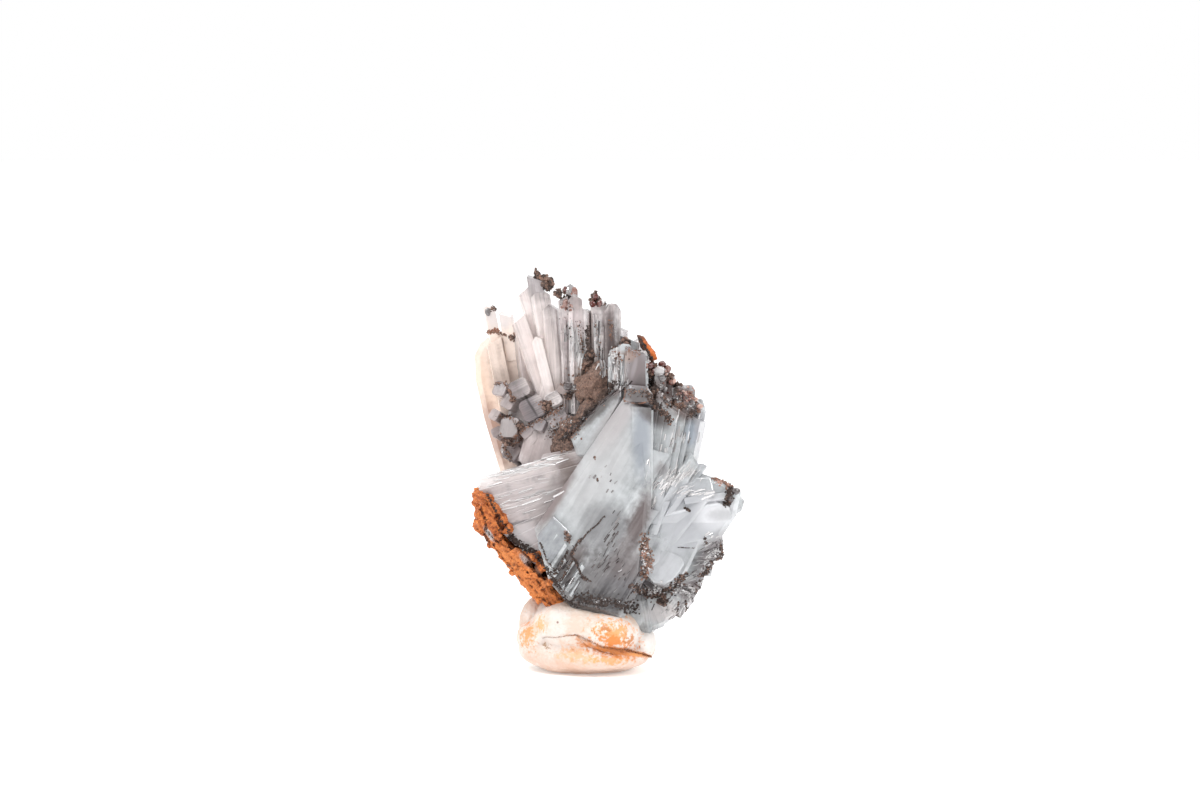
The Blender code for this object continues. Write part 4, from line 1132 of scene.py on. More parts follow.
# What is trimmed off the bark: a place on each cut, and the way that lies off it.
BARK_TRIMS = (
    ((-12.6, 5.6, 22.6), (-0.2, 0.9, 0.5)),
    ((-6.0, 5.8, 11.0), (0.3, 0.9, -0.5)),
    ((-11.6, 5.0, 15.0), (-0.5, 0.9, -0.4)),
    ((-13.2, -1.0, 22.6), (0.3, 0.0, 1.0)),
    ((-10.0, 0.0, 13.6), (-0.757, 0.0, -0.653)),
)
# Nuggets that are added to it: centre and radii.
BARK_NUGGETS = (
    ((-13.4, -0.8, 21.7), (0.7, 1.3, 0.6)),
    ((-12.3, -1.6, 21.4), (0.7, 1.2, 0.6)),
    ((-13.4, 2.4, 21.6), (0.7, 1.6, 0.8)),
    ((-11.0, -1.6, 20.4), (0.6, 1.2, 1.0)),
    ((-10.5, -1.4, 19.2), (0.9, 1.4, 0.8)),
    ((-9.8, -1.6, 18.0), (0.9, 1.2, 0.6)),
    ((-6.6, -1.8, 14.6), (1.2, 1.4, 0.6)),
    ((-5.6, -2.6, 13.2), (1.4, 1.2, 0.55)),
    ((-4.6, -3.4, 11.6), (1.4, 1.2, 0.5)),
    ((-13.3, 0.8, 21.3), (0.9, 2.0, 0.9)),
    ((-13.3, 4.2, 21.2), (0.9, 1.8, 1.1)),
    ((-12.4, 2.4, 20.0), (0.8, 2.8, 1.0)),
    ((-11.3, -0.6, 16.5), (1.1, 1.6, 0.6)),
    ((-8.5, -1.6, 13.1), (1.2, 1.4, 0.6)),
)
# Lobes of the putty: centre, radii and turn.
PUTTY_LOBES = (
    ((-0.2, 0.4, 2.3), (8.3, 7.2, 2.9), 0),
    ((-1.4, -0.9, 5.7), (5.4, 6.3, 3.4), -6),
    ((2.2, -1.3, 5.3), (4.9, 6.0, 3.2), -13),
    ((7.5, 0.0, 3.3), (1.4, 4.4, 1.9), 0),
    ((-6.0, 2.8, 5.0), (2.4, 4.0, 3.9), 8),
    ((-6.2, 0.5, 4.0), (2.4, 5.0, 2.6), 0),
    ((-3.4, 1.4, 5.6), (4.2, 5.4, 3.2), 0),
    ((1.0, -1.8, 2.0), (6.8, 5.6, 1.9), 0),
)


def in_sight(surface, across, up):
    """The spot of a surface that lies there in the front view, and its normal."""
    spot, normal, _, _ = surface.ray_cast(Vector((across, 0, up)) - SIGHT * FAR, SIGHT)
    return spot, normal


def from_behind(surface, across, height):
    """The same from the back."""
    spot, normal, _, _ = surface.ray_cast(Vector((across, FAR, height)), FRONT)
    return spot, normal


def along_trail(points, share):
    """The point at that share of the trail."""
    reach = share * (len(points) - 1)
    index = min(int(reach), len(points) - 2)
    return Vector(points[index]).lerp(Vector(points[index + 1]), reach - index)


def winding(share):
    """How far a fold or crack lies above its course at that share of it."""
    return WAVE * math.sin(share * WAVE_TURNS)


def press_fold(obj, points, half_width, depth):
    """Presses a fold or crack into a soft or loose body, deepest along its middle."""
    surface = surface_of([obj], unit=1)
    count = FOLD_STEPS * len(points)
    route = KDTree(count)
    for step in range(count):
        share = step / (count - 1)
        across, up = along_trail(points, share)
        spot, _ = in_sight(surface, across, up + winding(share))
        route.insert(spot or (0, 0, 0), step)
    route.balance()
    choose(obj)
    bpy.ops.object.mode_set(mode="EDIT")
    bpy.ops.mesh.select_mode(type="VERT")
    presses = (1.0, 0.7, 0.4)
    for share in presses:
        bpy.ops.mesh.select_all(action="DESELECT")
        mesh = bmesh.from_edit_mesh(obj.data)
        for vert in mesh.verts:
            _, step, gap = route.find(vert.co)
            narrow = math.sin(math.pi * (step + 1) / (count + 1)) ** 0.5
            if gap < half_width * share * narrow:
                vert.select_set(True)
        mesh.select_flush(True)
        bmesh.update_edit_mesh(obj.data)
        bpy.ops.transform.shrink_fatten(value=-depth / len(presses))
    bpy.ops.mesh.select_mode(type="EDGE")
    bpy.ops.object.mode_set(mode="OBJECT")


def limonite_bark():
    """Rust-like bark in long nuggets along its course, with cracks between them."""
    bark = copy_of("limonite_crust", "limonite_bark")
    choose(bark)
    bpy.ops.object.mode_set(mode="EDIT")
    for place, way in BARK_TRIMS:
        cut_off(place, way)
    bpy.ops.object.mode_set(mode="OBJECT")
    bark = merged([bark] + [ball(place, radii, turn=40) for place, radii in BARK_NUGGETS])
    modify(bark, "REMESH", mode="VOXEL", voxel_size=0.13)
    bpy.ops.object.empty_add(rotation=(0, math.radians(45), 0))
    course = bpy.context.object
    course.scale = (2.6, 1.0, 1.0)
    bpy.context.view_layer.update()
    for kind, size, strength, mid in (("VORONOI", 1.0, -0.9, 0.45), ("CLOUDS", 0.5, 0.5, 0.5)):
        texture = lumps("bark " + kind.lower(), kind, size)
        along = {"texture_coords": "OBJECT", "texture_coords_object": course}
        modify(bark, "DISPLACE", texture=texture, strength=strength, mid_level=mid, **along)
    bpy.data.objects.remove(course)
    modify(bark, "DISPLACE", texture=lumps("bark grains", size=0.28), strength=0.34, mid_level=0.5)
    for crack in BARK_CRACKS:
        press_fold(bark, *crack)
    return shrink(bark)


def putty_lump():
    """Lobes of putty pressed into each other, with folds and cracks between them."""
    putty = merged([ball(*lobe) for lobe in PUTTY_LOBES])
    putty.name = putty.data.name = "kneaded_putty"
    modify(putty, "REMESH", mode="VOXEL", voxel_size=0.2)
    modify(putty, "SMOOTH", iterations=6, factor=0.6)
    modify(putty, "DISPLACE", texture=lumps("thumb dents", size=4.0), strength=0.8, mid_level=0.55)
    modify(putty, "REMESH", mode="VOXEL", voxel_size=0.1)
    for fold in PUTTY_FOLDS:
        press_fold(putty, *fold)
    modify(putty, "SMOOTH", iterations=1, factor=0.4)
    modify(putty, "DISPLACE", texture=lumps("putty crumbs", size=0.9), strength=0.12, mid_level=0.5)
    bpy.ops.object.mode_set(mode="EDIT")
    cut_off((0, 0, 0), (0, 0, -1))
    bpy.ops.object.mode_set(mode="OBJECT")
    bpy.ops.object.shade_smooth()
    return shrink(putty)


# ---------------------------------------------------------------- grains


def taken_model():
    """The corners and faces of the object in hand, which is removed."""
    obj = bpy.context.object
    corners = np.array([vert.co for vert in obj.data.vertices])
    faces = np.array([face.vertices for face in obj.data.polygons])
    bpy.data.objects.remove(obj)
    return corners, faces


def model_grain(seed, detail=1, rough=0.3):
    """The corners and faces of one rough grain of radius 1."""
    bpy.ops.object.select_all(action="DESELECT")
    bpy.ops.mesh.primitive_ico_sphere_add(subdivisions=detail, radius=1, calc_uvs=False, enter_editmode=True)
    bpy.ops.transform.vertex_random(offset=rough, normal=0.4, seed=seed)
    bpy.ops.object.mode_set(mode="OBJECT")
    return taken_model()


def scatter(name, heaps, seed):
    """One mesh of many small pieces. Each heap has pieces, as (place, turn, size, tone), and their models."""
    chance = random.Random(seed)
    corners, faces, tones, count = [], [], [], 0
    for pieces, models in heaps:
        for place, turn, size, tone in pieces:
            shape, sides = chance.choice(models)
            tones += [tone] * len(shape)
            corners.append((shape * size) @ np.array(turn).T + np.array(place))
            faces.append(sides + count)
            count += len(shape)
    data = bpy.data.meshes.new(name)
    data.from_pydata(np.concatenate(corners) * MM, [], np.concatenate(faces).tolist())
    give_tone(data, tones)
    obj = bpy.data.objects.new(name, data)
    bpy.context.collection.objects.link(obj)
    return obj


def tumbled(place, radius, chance, tone=0.0, spread=1.0):
    """A grain at a place, turned and squashed at random."""
    turn = Matrix.Rotation(chance.uniform(0, math.tau), 3, "X")
    turn = turn @ Matrix.Rotation(chance.uniform(0, math.tau), 3, "Z")
    size = [radius * chance.uniform(0.7, 1.3) for _ in range(3)]
    return place, turn, size, tone + chance.uniform(-spread, spread)


# Trails of oxide grains as they lie in the front view: points (across, up), half width, count, grain radius
# and tone, from near black to orange brown.
FRONT_TRAILS = (
    (((3.7, 36.3), (2.3, 34.8), (0.8, 33.1), (-0.9, 31.0), (-3.0, 28.9)), 0.34, 520, 0.12, -1.3),
    (((-1.0, 36.4), (1.6, 35.0)), 1.4, 260, 0.09, 0.5),
    (((-4.0, 29.6), (-1.2, 31.0)), 1.2, 300, 0.1, 0.4),
    (((-11.8, 36.0), (-10.4, 36.2), (-9.6, 35.0), (-9.3, 33.9)), 0.16, 120, 0.09, 0.6),
    (
        ((-11.2, 31.9), (-9.6, 31.9), (-8.6, 30.6), (-8.3, 29.0), (-9.4, 28.2), (-10.6, 29.2)),
        0.2, 200, 0.1, 0.3,
    ),
    (((-10.9, 29.6), (-10.2, 27.6), (-9.4, 26.2)), 0.25, 120, 0.1, 0.3),
    (((-5.5, 33.7), (-4.4, 32.6)), 0.5, 200, 0.08, 0.9),
    (((-9.4, 28.9), (-7.7, 30.5), (-5.2, 31.8), (-2.6, 33.4)), 0.22, 260, 0.09, 0.8),
    (((-3.4, 35.9), (-2.2, 36.0), (-1.5, 35.2), (-2.2, 34.4)), 0.2, 90, 0.1, -0.4),
    (((-12.8, 42.6), (-11.8, 42.9), (-11.2, 42.7)), 0.25, 80, 0.13, 1.6),
    (((-11.0, 42.7), (-10.2, 42.2)), 0.14, 30, 0.1, 0.6),
    (((4.9, 35.5), (4.7, 33.9), (6.4, 33.5), (7.9, 33.9)), 0.08, 110, 0.07, 1.4),
    (((5.0, 40.3), (6.8, 39.8)), 0.4, 90, 0.07, 1.2),
    (((4.8, 35.3), (6.4, 34.9), (8.2, 35.1)), 0.45, 90, 0.07, -0.3),
    (((14.8, 16.9), (15.0, 15.9)), 0.14, 30, 0.1, -1.2),
    (((18.2, 23.0), (17.6, 22.4), (17.4, 20.9)), 0.3, 110, 0.13, -1.6),
    (((8.0, 37.8), (8.3, 36.2), (8.7, 34.8)), 0.35, 220, 0.12, -1.2),
    (((7.6, 38.4), (8.6, 37.8)), 0.2, 60, 0.11, 1.2),
    (((9.9, 37.3), (10.6, 36.4), (10.9, 35.9)), 0.3, 130, 0.13, -1.6),
    (((11.3, 35.6), (11.9, 33.9)), 0.25, 110, 0.11, -0.6),
    (((10.8, 33.8), (12.2, 33.2)), 0.4, 160, 0.1, 0.6),
    (((7.4, 35.0), (8.4, 33.6), (9.6, 32.4), (10.5, 31.2)), 0.4, 330, 0.12, -0.5),
    (((9.6, 34.6), (10.2, 33.2)), 0.3, 60, 0.1, -0.3),
    (((12.8, 35.0), (13.8, 33.8), (14.2, 32.4)), 0.18, 90, 0.1, 0.8),
    (((13.6, 32.8), (13.0, 32.0)), 0.4, 80, 0.1, -0.3),
    (((6.6, 41.9), (7.2, 41.0), (7.8, 39.9), (8.3, 39.2)), 0.12, 110, 0.1, -1.6),
    (((7.1, 17.2), (7.5, 15.4), (7.8, 13.6), (7.1, 12.2)), 0.5, 330, 0.12, 0.6),
    (((6.0, 10.9), (7.5, 9.6), (9.2, 9.4), (11.2, 10.9), (12.2, 12.1)), 0.5, 460, 0.12, -0.4),
    (((11.6, 8.6), (11.4, 7.4), (11.6, 6.4)), 0.12, 70, 0.1, -0.4),
    (((12.4, 8.8), (12.6, 7.6), (12.4, 6.8)), 0.12, 70, 0.1, -0.4),
    (((15.8, 24.2), (17.0, 23.9), (18.0, 23.1)), 0.22, 130, 0.12, 0.9),
    (((17.8, 22.6), (18.2, 21.6), (17.6, 21.0)), 0.3, 110, 0.12, -0.9),
    (((17.0, 16.4), (17.0, 14.5), (15.8, 13.4), (14.5, 11.9), (13.5, 9.9)), 0.35, 300, 0.12, -0.5),
    (((-2.6, 17.7), (-2.0, 17.0), (-2.3, 16.4)), 0.14, 60, 0.08, 0.6),
    (((2.3, 19.6), (1.3, 18.4), (0.2, 17.5), (-0.7, 16.4)), 0.08, 180, 0.07, -1.0),
    (
        ((-0.5, 16.8), (-1.4, 15.6), (-1.8, 14.8), (-1.2, 13.7), (-0.5, 12.0), (0.4, 11.4)),
        0.16, 260, 0.1, -0.9,
    ),
    (((-2.5, 17.4), (-2.1, 16.5)), 0.26, 60, 0.1, 0.2),
    (((-2.2, 15.4), (-3.0, 13.6), (-4.0, 12.2)), 0.14, 150, 0.08, -1.0),
    (((-1.6, 14.2), (-2.6, 12.4), (-3.4, 11.2)), 0.14, 130, 0.08, -0.8),
    (((-5.6, 16.2), (-4.9, 14.2), (-3.6, 12.4)), 0.1, 90, 0.08, -1.0),
    (((-2.2, 8.8), (-0.1, 9.2), (2.2, 8.9), (4.5, 8.4), (6.2, 7.8)), 0.6, 420, 0.12, -2.0),
    (
        ((-12.4, 22.4), (-11.4, 20.4), (-10.5, 18.8), (-9.6, 17.6), (-9.1, 16.4), (-8.4, 15.7)),
        0.18, 240, 0.09, -1.2,
    ),
    (((-9.6, 16.9), (-7.8, 15.6), (-6.5, 15.1)), 0.35, 220, 0.12, -1.6),
    (((-6.5, 15.1), (-5.7, 14.0), (-4.2, 12.0), (-3.7, 11.2), (-2.0, 8.4)), 0.24, 280, 0.11, -1.3),
    (((-1.0, 43.9), (-0.4, 39.9), (0.5, 37.9)), 0.3, 150, 0.09, 0.0),
    (((0.2, 43.4), (0.1, 38.4)), 0.25, 130, 0.11, -0.8),
    (((-2.4, 44.8), (-2.2, 41.6)), 0.8, 26, 0.1, -1.2),
    (((1.2, 43.6), (1.8, 40.1), (2.0, 36.9)), 0.25, 150, 0.09, 0.0),
    (((3.0, 43.9), (3.1, 41.6)), 0.3, 60, 0.09, 0.6),
    (((3.4, 39.8), (4.6, 38.6)), 0.6, 50, 0.09, 0.6),
    (((1.0, 26.9), (1.1, 26.7)), 0.12, 8, 0.1, -0.5),
    (((1.4, 24.3), (1.5, 24.0)), 0.1, 8, 0.1, -0.5),
    (((12.3, 20.5), (12.9, 20.1)), 0.1, 20, 0.14, -1.2),
)

# The same on the back, as (across, height).
REAR_TRAILS = (
    (((-3.0, 10.6), (1.5, 10.2), (5.5, 11.6)), 1.2, 420, 0.13, -0.4),
    (((2.2, 14.0), (3.6, 19.0), (5.0, 24.0)), 0.35, 200, 0.12, -0.6),
    (((0.2, 15.0), (-1.6, 21.0), (-3.4, 27.0)), 0.3, 200, 0.12, -0.3),
    (((6.4, 20.0), (8.8, 26.0), (10.6, 31.0)), 0.4, 200, 0.12, 0.0),
    (((-2.0, 14.0), (-4.2, 21.0), (-6.4, 28.0)), 0.3, 190, 0.12, 0.0),
    (((-8.4, 39.6), (-9.4, 42.2)), 0.4, 80, 0.12, 0.0),
    (((3.6, 40.2), (5.8, 39.4), (8.0, 36.0)), 0.5, 160, 0.12, 0.0),
    (((8.0, 13.0), (11.0, 16.4), (14.0, 18.0)), 0.4, 160, 0.12, -0.4),
)

LUMP_GRAINS = 60
# Lumps of oxide on the crystals' tips, each of that many grains: centre and radius.
TIP_LUMPS = (
    ((4.9, 0.6, 41.0), 0.9),
    ((3.6, 0.8, 40.3), 0.5),
    ((8.3, 0.4, 38.2), 0.75),
    ((7.9, 0.0, 37.4), 0.7),
    ((10.4, 0.9, 36.7), 0.8),
    ((11.6, 0.8, 35.7), 0.6),
    ((8.4, -0.9, 35.0), 0.9),
    ((10.0, -0.9, 33.4), 0.9),
    ((17.7, -0.9, 23.2), 0.6),
    ((6.9, -4.4, 16.0), 0.7),
    ((7.4, -4.2, 12.6), 0.7),
    ((10.2, -2.4, 11.2), 0.8),
    ((9.6, -1.6, 9.0), 0.9),
    ((-5.2, 7.4, 48.3), 1.15),
    ((-4.9, 7.4, 48.0), 0.9),
    ((-6.0, 7.5, 48.9), 0.75),
    ((-6.3, 7.5, 49.5), 0.42),
    ((-6.4, 7.5, 50.0), 0.2),
    ((-3.5, 4.6, 47.1), 0.7),
    ((-2.6, 4.4, 46.3), 0.7),
    ((-1.9, 4.4, 46.8), 0.7),
    ((-2.6, 4.4, 47.4), 0.5),
    ((1.2, 4.0, 46.2), 0.9),
    ((1.9, 4.0, 45.8), 0.7),
    ((1.0, 4.0, 46.8), 0.5),
    ((1.2, 4.0, 47.3), 0.25),
    ((5.0, 4.0, 40.6), 0.8),
    ((0.6, 2.8, 39.6), 0.8),
    ((0.2, 2.6, 38.2), 0.9),
    ((-9.3, 5.6, 33.6), 0.5),
    ((-8.4, 4.2, 30.4), 0.6),
    ((-9.8, 4.6, 28.2), 0.6),
    ((-4.9, 3.0, 33.0), 0.8),
    ((-2.3, 2.3, 34.2), 0.6),
    ((-12.0, 11.7, 44.7), 0.5),
    ((-12.8, 11.9, 44.7), 0.35),
    ((-9.4, 11.6, 41.1), 0.7),
    ((12.7, -3.4, 20.6), 0.34),
)


def beside_trail(points, half_width, chance):
    """A random point of the front view, (across, up), in or close beside a trail."""
    across, up = along_trail(points, chance.random())
    stray = half_width * 0.6
    return across + chance.gauss(0, stray), up + chance.gauss(0, stray)


def trail_grains(surface, trails, spot_at, seed):
    """Grains that lie on the surface along the trails. spot_at finds a spot and its normal."""
    chance = random.Random(seed)
    grains = []
    for points, half_width, count, radius, tone in trails:
        for _ in range(count):
            across, up = beside_trail(points, half_width, chance)
            size = radius * 0.5 / chance.uniform(0.3, 1.0)
            spot, normal = spot_at(surface, across, up)
            if spot is not None:
                grains.append(tumbled(spot + normal * size * 0.1, size, chance, tone))
    return grains


def crack_grains(surface, folds, density, seed, pale):
    """Dirt in the cracks of the putty and the bark."""
    chance = random.Random(seed)
    grains = []
    for points, half_width, _ in folds:
        for _ in range(density * len(points)):
            share = chance.random()
            across, up = along_trail(points, share)
            up += winding(share) + chance.gauss(0, half_width * 0.25)
            spot, _ = in_sight(surface, across + chance.gauss(0, 0.03), up)
            size = half_width * chance.uniform(0.1, 0.28) * (0.4 + share)
            if spot is not None:
                grains.append(tumbled(spot, size, chance, pale))
    return grains


def tip_grains(seed):
    """Close heaps of grains on the tips."""
    chance = random.Random(seed)
    grains = []
    for centre, radius in TIP_LUMPS:
        for number in range(LUMP_GRAINS):
            # The first is the core, which the others lie around.
            core = number == 0
            ray = Vector([chance.gauss(0, 1) for _ in range(3)]).normalized()
            size = radius * (0.6 if core else chance.uniform(0.14, 0.3))
            reach = 0 if core else radius * chance.uniform(0.5, 0.85)
            grains.append(tumbled(Vector(centre) + ray * reach, size, chance))
    return grains


# Thin splinters of crystal as they lie in the front view: points (across, up), half width, count, length,
# slope to the right in degrees, and how pale they are, from -1 to 1.
SPLINTER_TRAILS = (
    (((9.4, 25.0), (10.6, 29.0), (12.4, 31.0)), 1.9, 40, 1.0, 14, 0.2),
    (((8.6, 23.6), (8.4, 20.0)), 0.2, 14, 0.9, 26, 0.1),
    (((9.5, 23.5), (11.5, 24.6), (13.5, 25.0)), 0.8, 80, 0.9, 38, 0.5),
    (((-2.4, 43.0), (-1.2, 41.0), (-0.4, 39.6)), 0.9, 90, 1.5, 1, 0.2),
    (((3.6, 39.6), (4.0, 37.6), (4.2, 35.6)), 0.8, 90, 0.8, 0, 0.3),
    (((1.4, 44.0), (1.6, 40.6), (2.2, 37.6)), 0.5, 60, 1.4, 0, -0.2),
    (((-12.0, 24.0), (-8.0, 25.4), (-3.0, 26.8)), 0.5, 60, 1.8, 76, 0.8),
    (((-12.0, 21.0), (-8.0, 21.6), (-4.0, 22.6)), 1.4, 34, 1.8, 75, 0.6),
    (((11.4, 15.6), (13.6, 15.5)), 0.03, 9, 0.5, 90, -0.7),
    (((15.8, 16.6), (15.2, 13.4), (12.6, 9.6)), 1.0, 130, 0.7, 60, 0.0),
    (((9.0, 9.0), (11.4, 8.0), (12.0, 6.6)), 1.0, 80, 0.7, 40, 0.1),
    (((1.6, 14.0), (4.6, 12.6), (6.8, 10.6)), 1.6, 40, 0.5, 40, -0.7),
    (((1.8, 25.2), (4.2, 22.6)), 1.2, 10, 0.4, 33, -0.1),
    (((4.2, 19.6), (3.0, 16.0), (1.4, 12.4)), 1.0, 44, 0.8, 33, -0.7),
    (((11.5, 22.8), (15.5, 22.2)), 0.5, 26, 1.3, 74, 1.2),
    (((9.4, 22.4), (10.8, 24.4)), 0.4, 18, 0.9, 40, 1.2),
    (((-3.4, 13.4), (-1.8, 10.6)), 0.6, 14, 1.2, 33, -1.2),
    (((-3.0, 29.2), (0.4, 32.3), (5.0, 36.2)), 0.3, 130, 0.8, 48, -1.1),
    (((-3.6, 30.8), (-1.4, 31.6)), 1.0, 10, 0.4, 20, 0.3),
)


def model_splinter(sides, taper):
    """The corners and faces of a thin crystal of half length 1 along Z, tapered at its tip."""
    bpy.ops.object.select_all(action="DESELECT")
    bpy.ops.mesh.primitive_cylinder_add(
        vertices=sides, radius=1, depth=2, enter_editmode=True, calc_uvs=False
    )
    mesh = bmesh.from_edit_mesh(bpy.context.object.data)
    bpy.ops.mesh.select_all(action="DESELECT")
    for face in mesh.faces:
        face.select_set(face.normal.z > 0.5)
    bmesh.update_edit_mesh(bpy.context.object.data)
    bpy.ops.transform.resize(value=(taper, taper, 1))
    bpy.ops.mesh.select_all(action="SELECT")
    bpy.ops.mesh.quads_convert_to_tris()
    bpy.ops.object.mode_set(mode="OBJECT")
    return taken_model()


# Larger beads and chips, as they lie in the front view: (across, up), depth, radius and how pale.
SMOKY_BEADS = (
    ((9.1, 37.6), -0.6, 0.6, 0.2),
    ((9.5, 36.7), -0.6, 0.42, -0.4),
    ((12.4, 35.2), 0.2, 0.6, 0.0),
    ((13.0, 34.6), 0.1, 0.55, 0.3),
    ((18.7, 22.6), -2.0, 0.6, -0.8),
    ((18.0, 21.6), -2.0, 0.5, -0.9),
    ((17.6, 20.7), -2.0, 0.45, -0.6),
    ((1.9, 46.3), 3.4, 0.4, 0.8),
    ((-12.6, 45.4), 11.5, 0.5, -0.5),
    ((-2.0, 47.9), 4.0, 0.68, -0.2),
    ((-2.3, 35.7), 1.9, 0.5, -0.8),
)
RUDDY_BEADS = (
    ((9.5, 38.5), 0.2, 0.6, -0.8),
    ((10.2, 37.9), 0.2, 0.45, -0.4),
    ((11.0, 36.3), 0.2, 0.34, 1.0),
    ((10.6, 36.2), 0.0, 0.34, -0.3),
    ((-1.5, 47.6), 3.8, 0.55, -0.3),
    ((-2.6, 48.0), 3.8, 0.4, -0.8),
    ((-2.6, 46.2), 3.7, 0.5, -0.2),
    ((1.2, 47.0), 3.2, 0.42, -0.9),
    ((1.7, 46.2), 2.9, 0.4, -0.8),
    ((0.8, 46.1), 2.9, 0.4, -0.9),
    ((8.0, 38.3), -0.4, 0.5, -0.9),
    ((8.5, 37.6), -0.5, 0.4, -0.7),
    ((13.6, 34.1), 0.0, 0.4, 0.9),
    ((14.2, 33.2), 0.0, 0.34, 0.8),
)
# Heaps of small ones: (across, up), their spread, count and how pale.
SMOKY_HEAPS = (
    ((11.3, 34.2), (1.3, 0.9), 70, -0.9),
    ((13.2, 33.2), (0.7, 0.9), 30, -0.6),
    ((9.3, 35.2), (0.8, 1.0), 30, -0.4),
    ((7.3, 14.6), (0.35, 1.5), 60, 0.4),
    ((8.6, 10.0), (1.4, 0.5), 90, 0.0),
    ((11.2, 10.4), (1.2, 0.8), 50, 0.0),
    ((13.0, 9.6), (0.8, 0.9), 50, -0.2),
    ((16.4, 15.0), (0.5, 1.3), 60, -0.2),
    ((2.0, 8.9), (3.2, 0.5), 90, -1.4),
    ((-1.8, 35.6), (0.6, 0.4), 30, -0.6),
    ((3.6, 39.4), (0.5, 0.8), 40, 0.7),
)
RUDDY_HEAPS = (
    ((8.1, 38.1), (0.4, 0.6), 30, -0.9),
    ((9.6, 37.2), (0.8, 0.9), 40, -0.2),
    ((12.4, 34.6), (1.2, 0.8), 60, -0.4),
    ((7.2, 15.2), (0.4, 1.2), 40, 0.2),
    ((17.0, 23.7), (0.8, 0.3), 30, 0.7),
    ((1.4, 46.2), (0.5, 0.4), 30, -0.6),
    ((-1.9, 47.8), (0.5, 0.4), 26, -0.3),
    ((-2.6, 45.8), (0.6, 0.4), 30, -0.3),
)


def single_beads(beads, seed):
    """Each of beads as a piece for scatter, with its depth along the line of sight."""
    chance = random.Random(seed)
    return [
        tumbled(Vector((across, 0, up)) + SIGHT * depth, radius, chance, pale, spread=0.1)
        for (across, up), depth, radius, pale in beads
    ]


def bead_heaps(surface, heaps, seed):
    """Small ones that lie on the surface in heaps."""
    chance = random.Random(seed)
    beads = []
    for middle, spread, count, pale in heaps:
        for _ in range(count):
            across, up = (start + chance.gauss(0, 0.6) * reach for start, reach in zip(middle, spread))
            spot, _ = in_sight(surface, across, up)
            if spot is not None:
                beads.append(tumbled(spot, chance.uniform(0.07, 0.2), chance, pale))
    return beads


def trail_splinters(surface, seed):
    """Splinters that lie on the surface, each as (place, turn, size, tone)."""
    chance = random.Random(seed)
    splinters = []
    for points, half_width, count, length, slope, pale in SPLINTER_TRAILS:
        for _ in range(count):
            across, up = beside_trail(points, half_width, chance)
            spot, normal = in_sight(surface, across, up)
            if spot is None:
                continue
            lean = math.radians(slope + chance.gauss(0, 7))
            along = Vector((math.sin(lean), 0, math.cos(lean)))
            along = (along - normal * along.dot(normal) * 0.9).normalized()
            turn = along.to_track_quat("Z", "Y").to_matrix() @ Matrix.Rotation(chance.uniform(0, 3), 3, "Z")
            thin = chance.uniform(0.03, 0.08)
            size = (thin * chance.uniform(1, 2), thin, length * chance.uniform(0.25, 0.7))
            splinters.append((spot + normal * thin * 0.3, turn, size, pale + chance.uniform(-0.6, 0.6)))
    return splinters


# ---------------------------------------------------------------- stage


def studio():
    """A light tent: white to the eye, brightest above and behind, and dimmer on the side of the lens."""
    world = bpy.data.worlds.new("studio")
    bpy.context.scene.world = world
    world.use_nodes = True
    nodes = Nodes(world.node_tree)
    way = nodes.node("ShaderNodeTexCoord", output="Generated")
    above = nodes.axis(way, "Z").ramp(-0.1, 0.9, 0.0, 0.4)
    behind = nodes.axis(way, "Y").ramp(-0.7, 0.7, 0.2, 1.0)
    seen = nodes.node("ShaderNodeLightPath", output="Is Camera Ray")
    background = world.node_tree.nodes["Background"]
    nodes.feed(background.inputs["Strength"], (above + behind) * (1.0 - seen) + seen)
    nodes.feed(background.inputs["Color"], (1, 1, 1))


def stage():
    bpy.ops.object.select_all(action="DESELECT")
    bpy.ops.mesh.primitive_plane_add(size=8)
    floor = bpy.context.object
    floor.name = "floor"
    look = Look("white paper")
    paper = look.principled(
        Base_Color=(1, 1, 1), Roughness=0.9, Emission_Color=(1, 1, 1), Emission_Strength=0.2
    )
    floor.data.materials.append(look.finish(paper))

    studio()
    bpy.context.scene.view_settings.view_transform = "Standard"

    middle = Vector((0, 0, 0.025))
    for name, place, size, watts in (
        ("top softbox", (-0.20, -0.30, 0.65), 0.5, 3.4),
        ("side softbox", (0.6, -0.1, 0.35), 0.3, 1.2),
        ("left spot", (-0.40, -0.30, 0.16), 0.06, 0.22),
        ("right spot", (0.30, -0.42, 0.30), 0.06, 0.22),
        ("upper spot", (-0.05, -0.40, 0.50), 0.05, 0.22),
    ):
        lamp = bpy.data.lights.new(name, "AREA")
        lamp.shape = "SQUARE"
        lamp.size = size
        lamp.energy = watts
        obj = bpy.data.objects.new(name, lamp)
        bpy.context.scene.collection.objects.link(obj)
        obj.location = place
        obj.rotation_euler = (middle - Vector(place)).to_track_quat("-Z", "Y").to_euler()


def camera():
    """A long lens, five degrees above level, with an eighth of a millimetre to each of 1200 columns."""
    lens = bpy.data.cameras.new("camera")
    lens.lens = 100
    lens.sensor_width = 36
    frame_width = 1200 * 0.125 * MM
    distance = lens.lens / lens.sensor_width * frame_width
    target = Vector((1.75, 0, 33.875 / math.cos(EYE_SLOPE))) * MM
    obj = bpy.data.objects.new("camera", lens)
    bpy.context.scene.collection.objects.link(obj)
    obj.location = target - SIGHT * distance
    obj.rotation_euler = SIGHT.to_track_quat("-Z", "Y").to_euler()
    bpy.context.scene.camera = obj


# ---------------------------------------------------------------- assembly


def front_blades():
    return front_plate() + upper_columns() + right_block() + right_fan() + lower_right_blades()


def back_blades():
    return skyline_columns() + stepped_blocks() + rear_blades()


def strew(name, heaps, look):
    """Puts small pieces on the specimen, as scatter has them."""
    small = scatter(name, heaps, seed=5)
    small.data.materials.append(look)
    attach(small, "root")


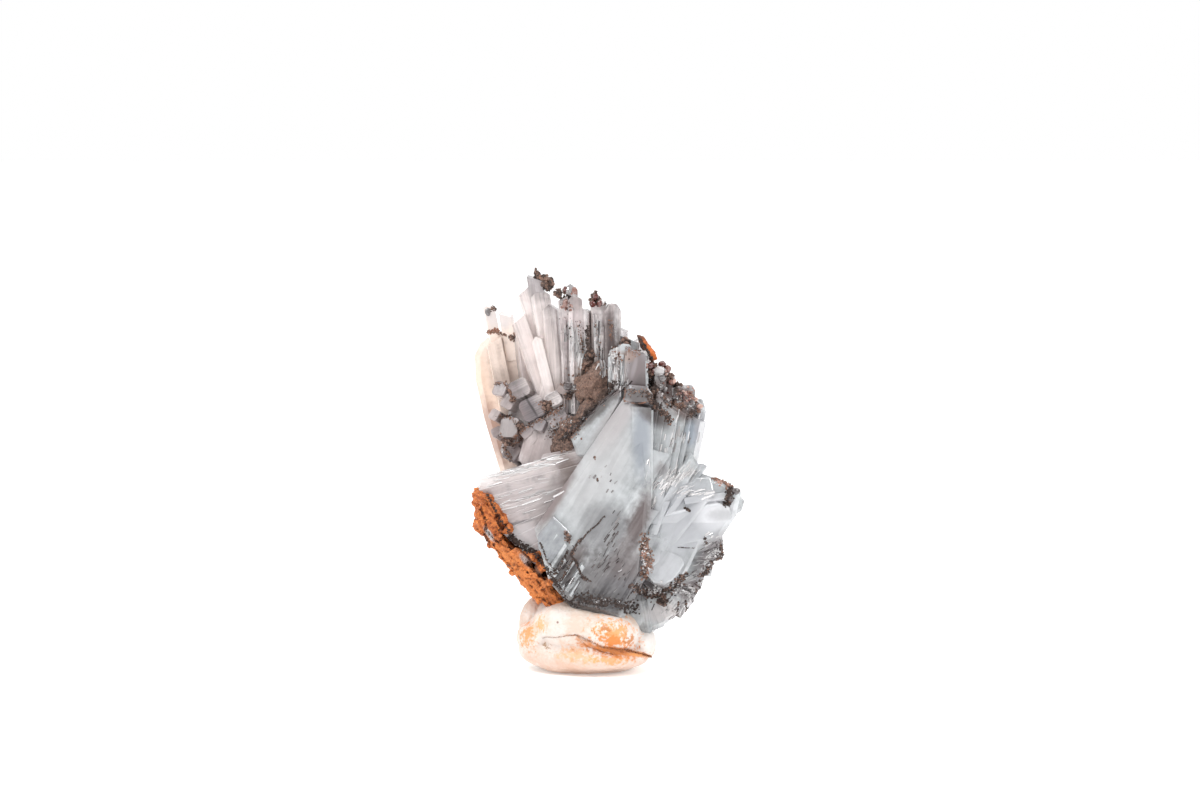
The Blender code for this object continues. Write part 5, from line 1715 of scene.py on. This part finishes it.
def build():
    bpy.context.tool_settings.mesh_select_mode = (False, True, False)
    oxide, orange = brown_oxide(), orange_limonite()
    front = dress(gather("front_crystals", front_blades()), pale_blue_barite(), "front_blades")
    back = dress(gather("back_crystals", back_blades()), colourless_barite(), "back_blades")
    left = dress(gather("left_crystals", left_crystals()), white_barite(), "left_blades")
    tall = dress(gather("cream_crystals", cream_crystals()), cream_barite(), "cream_blade")
    seam = dress(oxide_body(), oxide, "oxide_seam")
    bark = dress(limonite_bark(), orange, "limonite_crust")
    sliver = dress(limonite_sliver(), orange, "limonite_splinter")
    lump = dress(putty_lump(), putty_look(), "putty_base")

    crystals = (front, back, left, tall, seam)
    surface = surface_of(crystals + (sliver, bark))
    grains = [model_grain(seed) for seed in range(5)]
    beads = [model_grain(seed, detail=2, rough=0.12) for seed in range(3)]
    splinters = [model_splinter(4, 0.3), model_splinter(5, 0.5), model_splinter(4, 0.8)]
    smoky = splinter_look("smoky splinters", (0.08, 0.06, 0.06), (0.88, 0.86, 0.86))
    ruddy = splinter_look("ruddy beads", (0.13, 0.028, 0.022), (0.62, 0.38, 0.31))
    trails = trail_grains(surface, FRONT_TRAILS, in_sight, seed=3)
    caps = tip_grains(seed=4) + trail_grains(surface, REAR_TRAILS, from_behind, seed=10)
    caps += crack_grains(surface_of([bark]), BARK_CRACKS, density=16, seed=8, pale=-0.9)
    dirt = crack_grains(surface_of([lump]), PUTTY_FOLDS[:3], density=70, seed=7, pale=0.0)
    strewn = trail_splinters(surface_of(crystals), seed=6)
    smoky_singles, smoky_heaps = single_beads(SMOKY_BEADS, seed=11), bead_heaps(surface, SMOKY_HEAPS, seed=9)
    ruddy_singles, ruddy_heaps = single_beads(RUDDY_BEADS, seed=12), bead_heaps(surface, RUDDY_HEAPS, seed=13)
    strew("oxide_grains", [(trails, grains)], oxide)
    strew("oxide_caps", [(caps, grains)], oxide)
    strew("crack_dirt", [(dirt, grains)], rusty_dirt())
    strew("crystal_splinters", [(strewn, splinters)], smoky)
    strew("smoky_beads", [(smoky_singles, beads), (smoky_heaps, grains)], smoky)
    strew("ruddy_beads", [(ruddy_singles, beads), (ruddy_heaps, grains)], ruddy)


build()
stage()
camera()
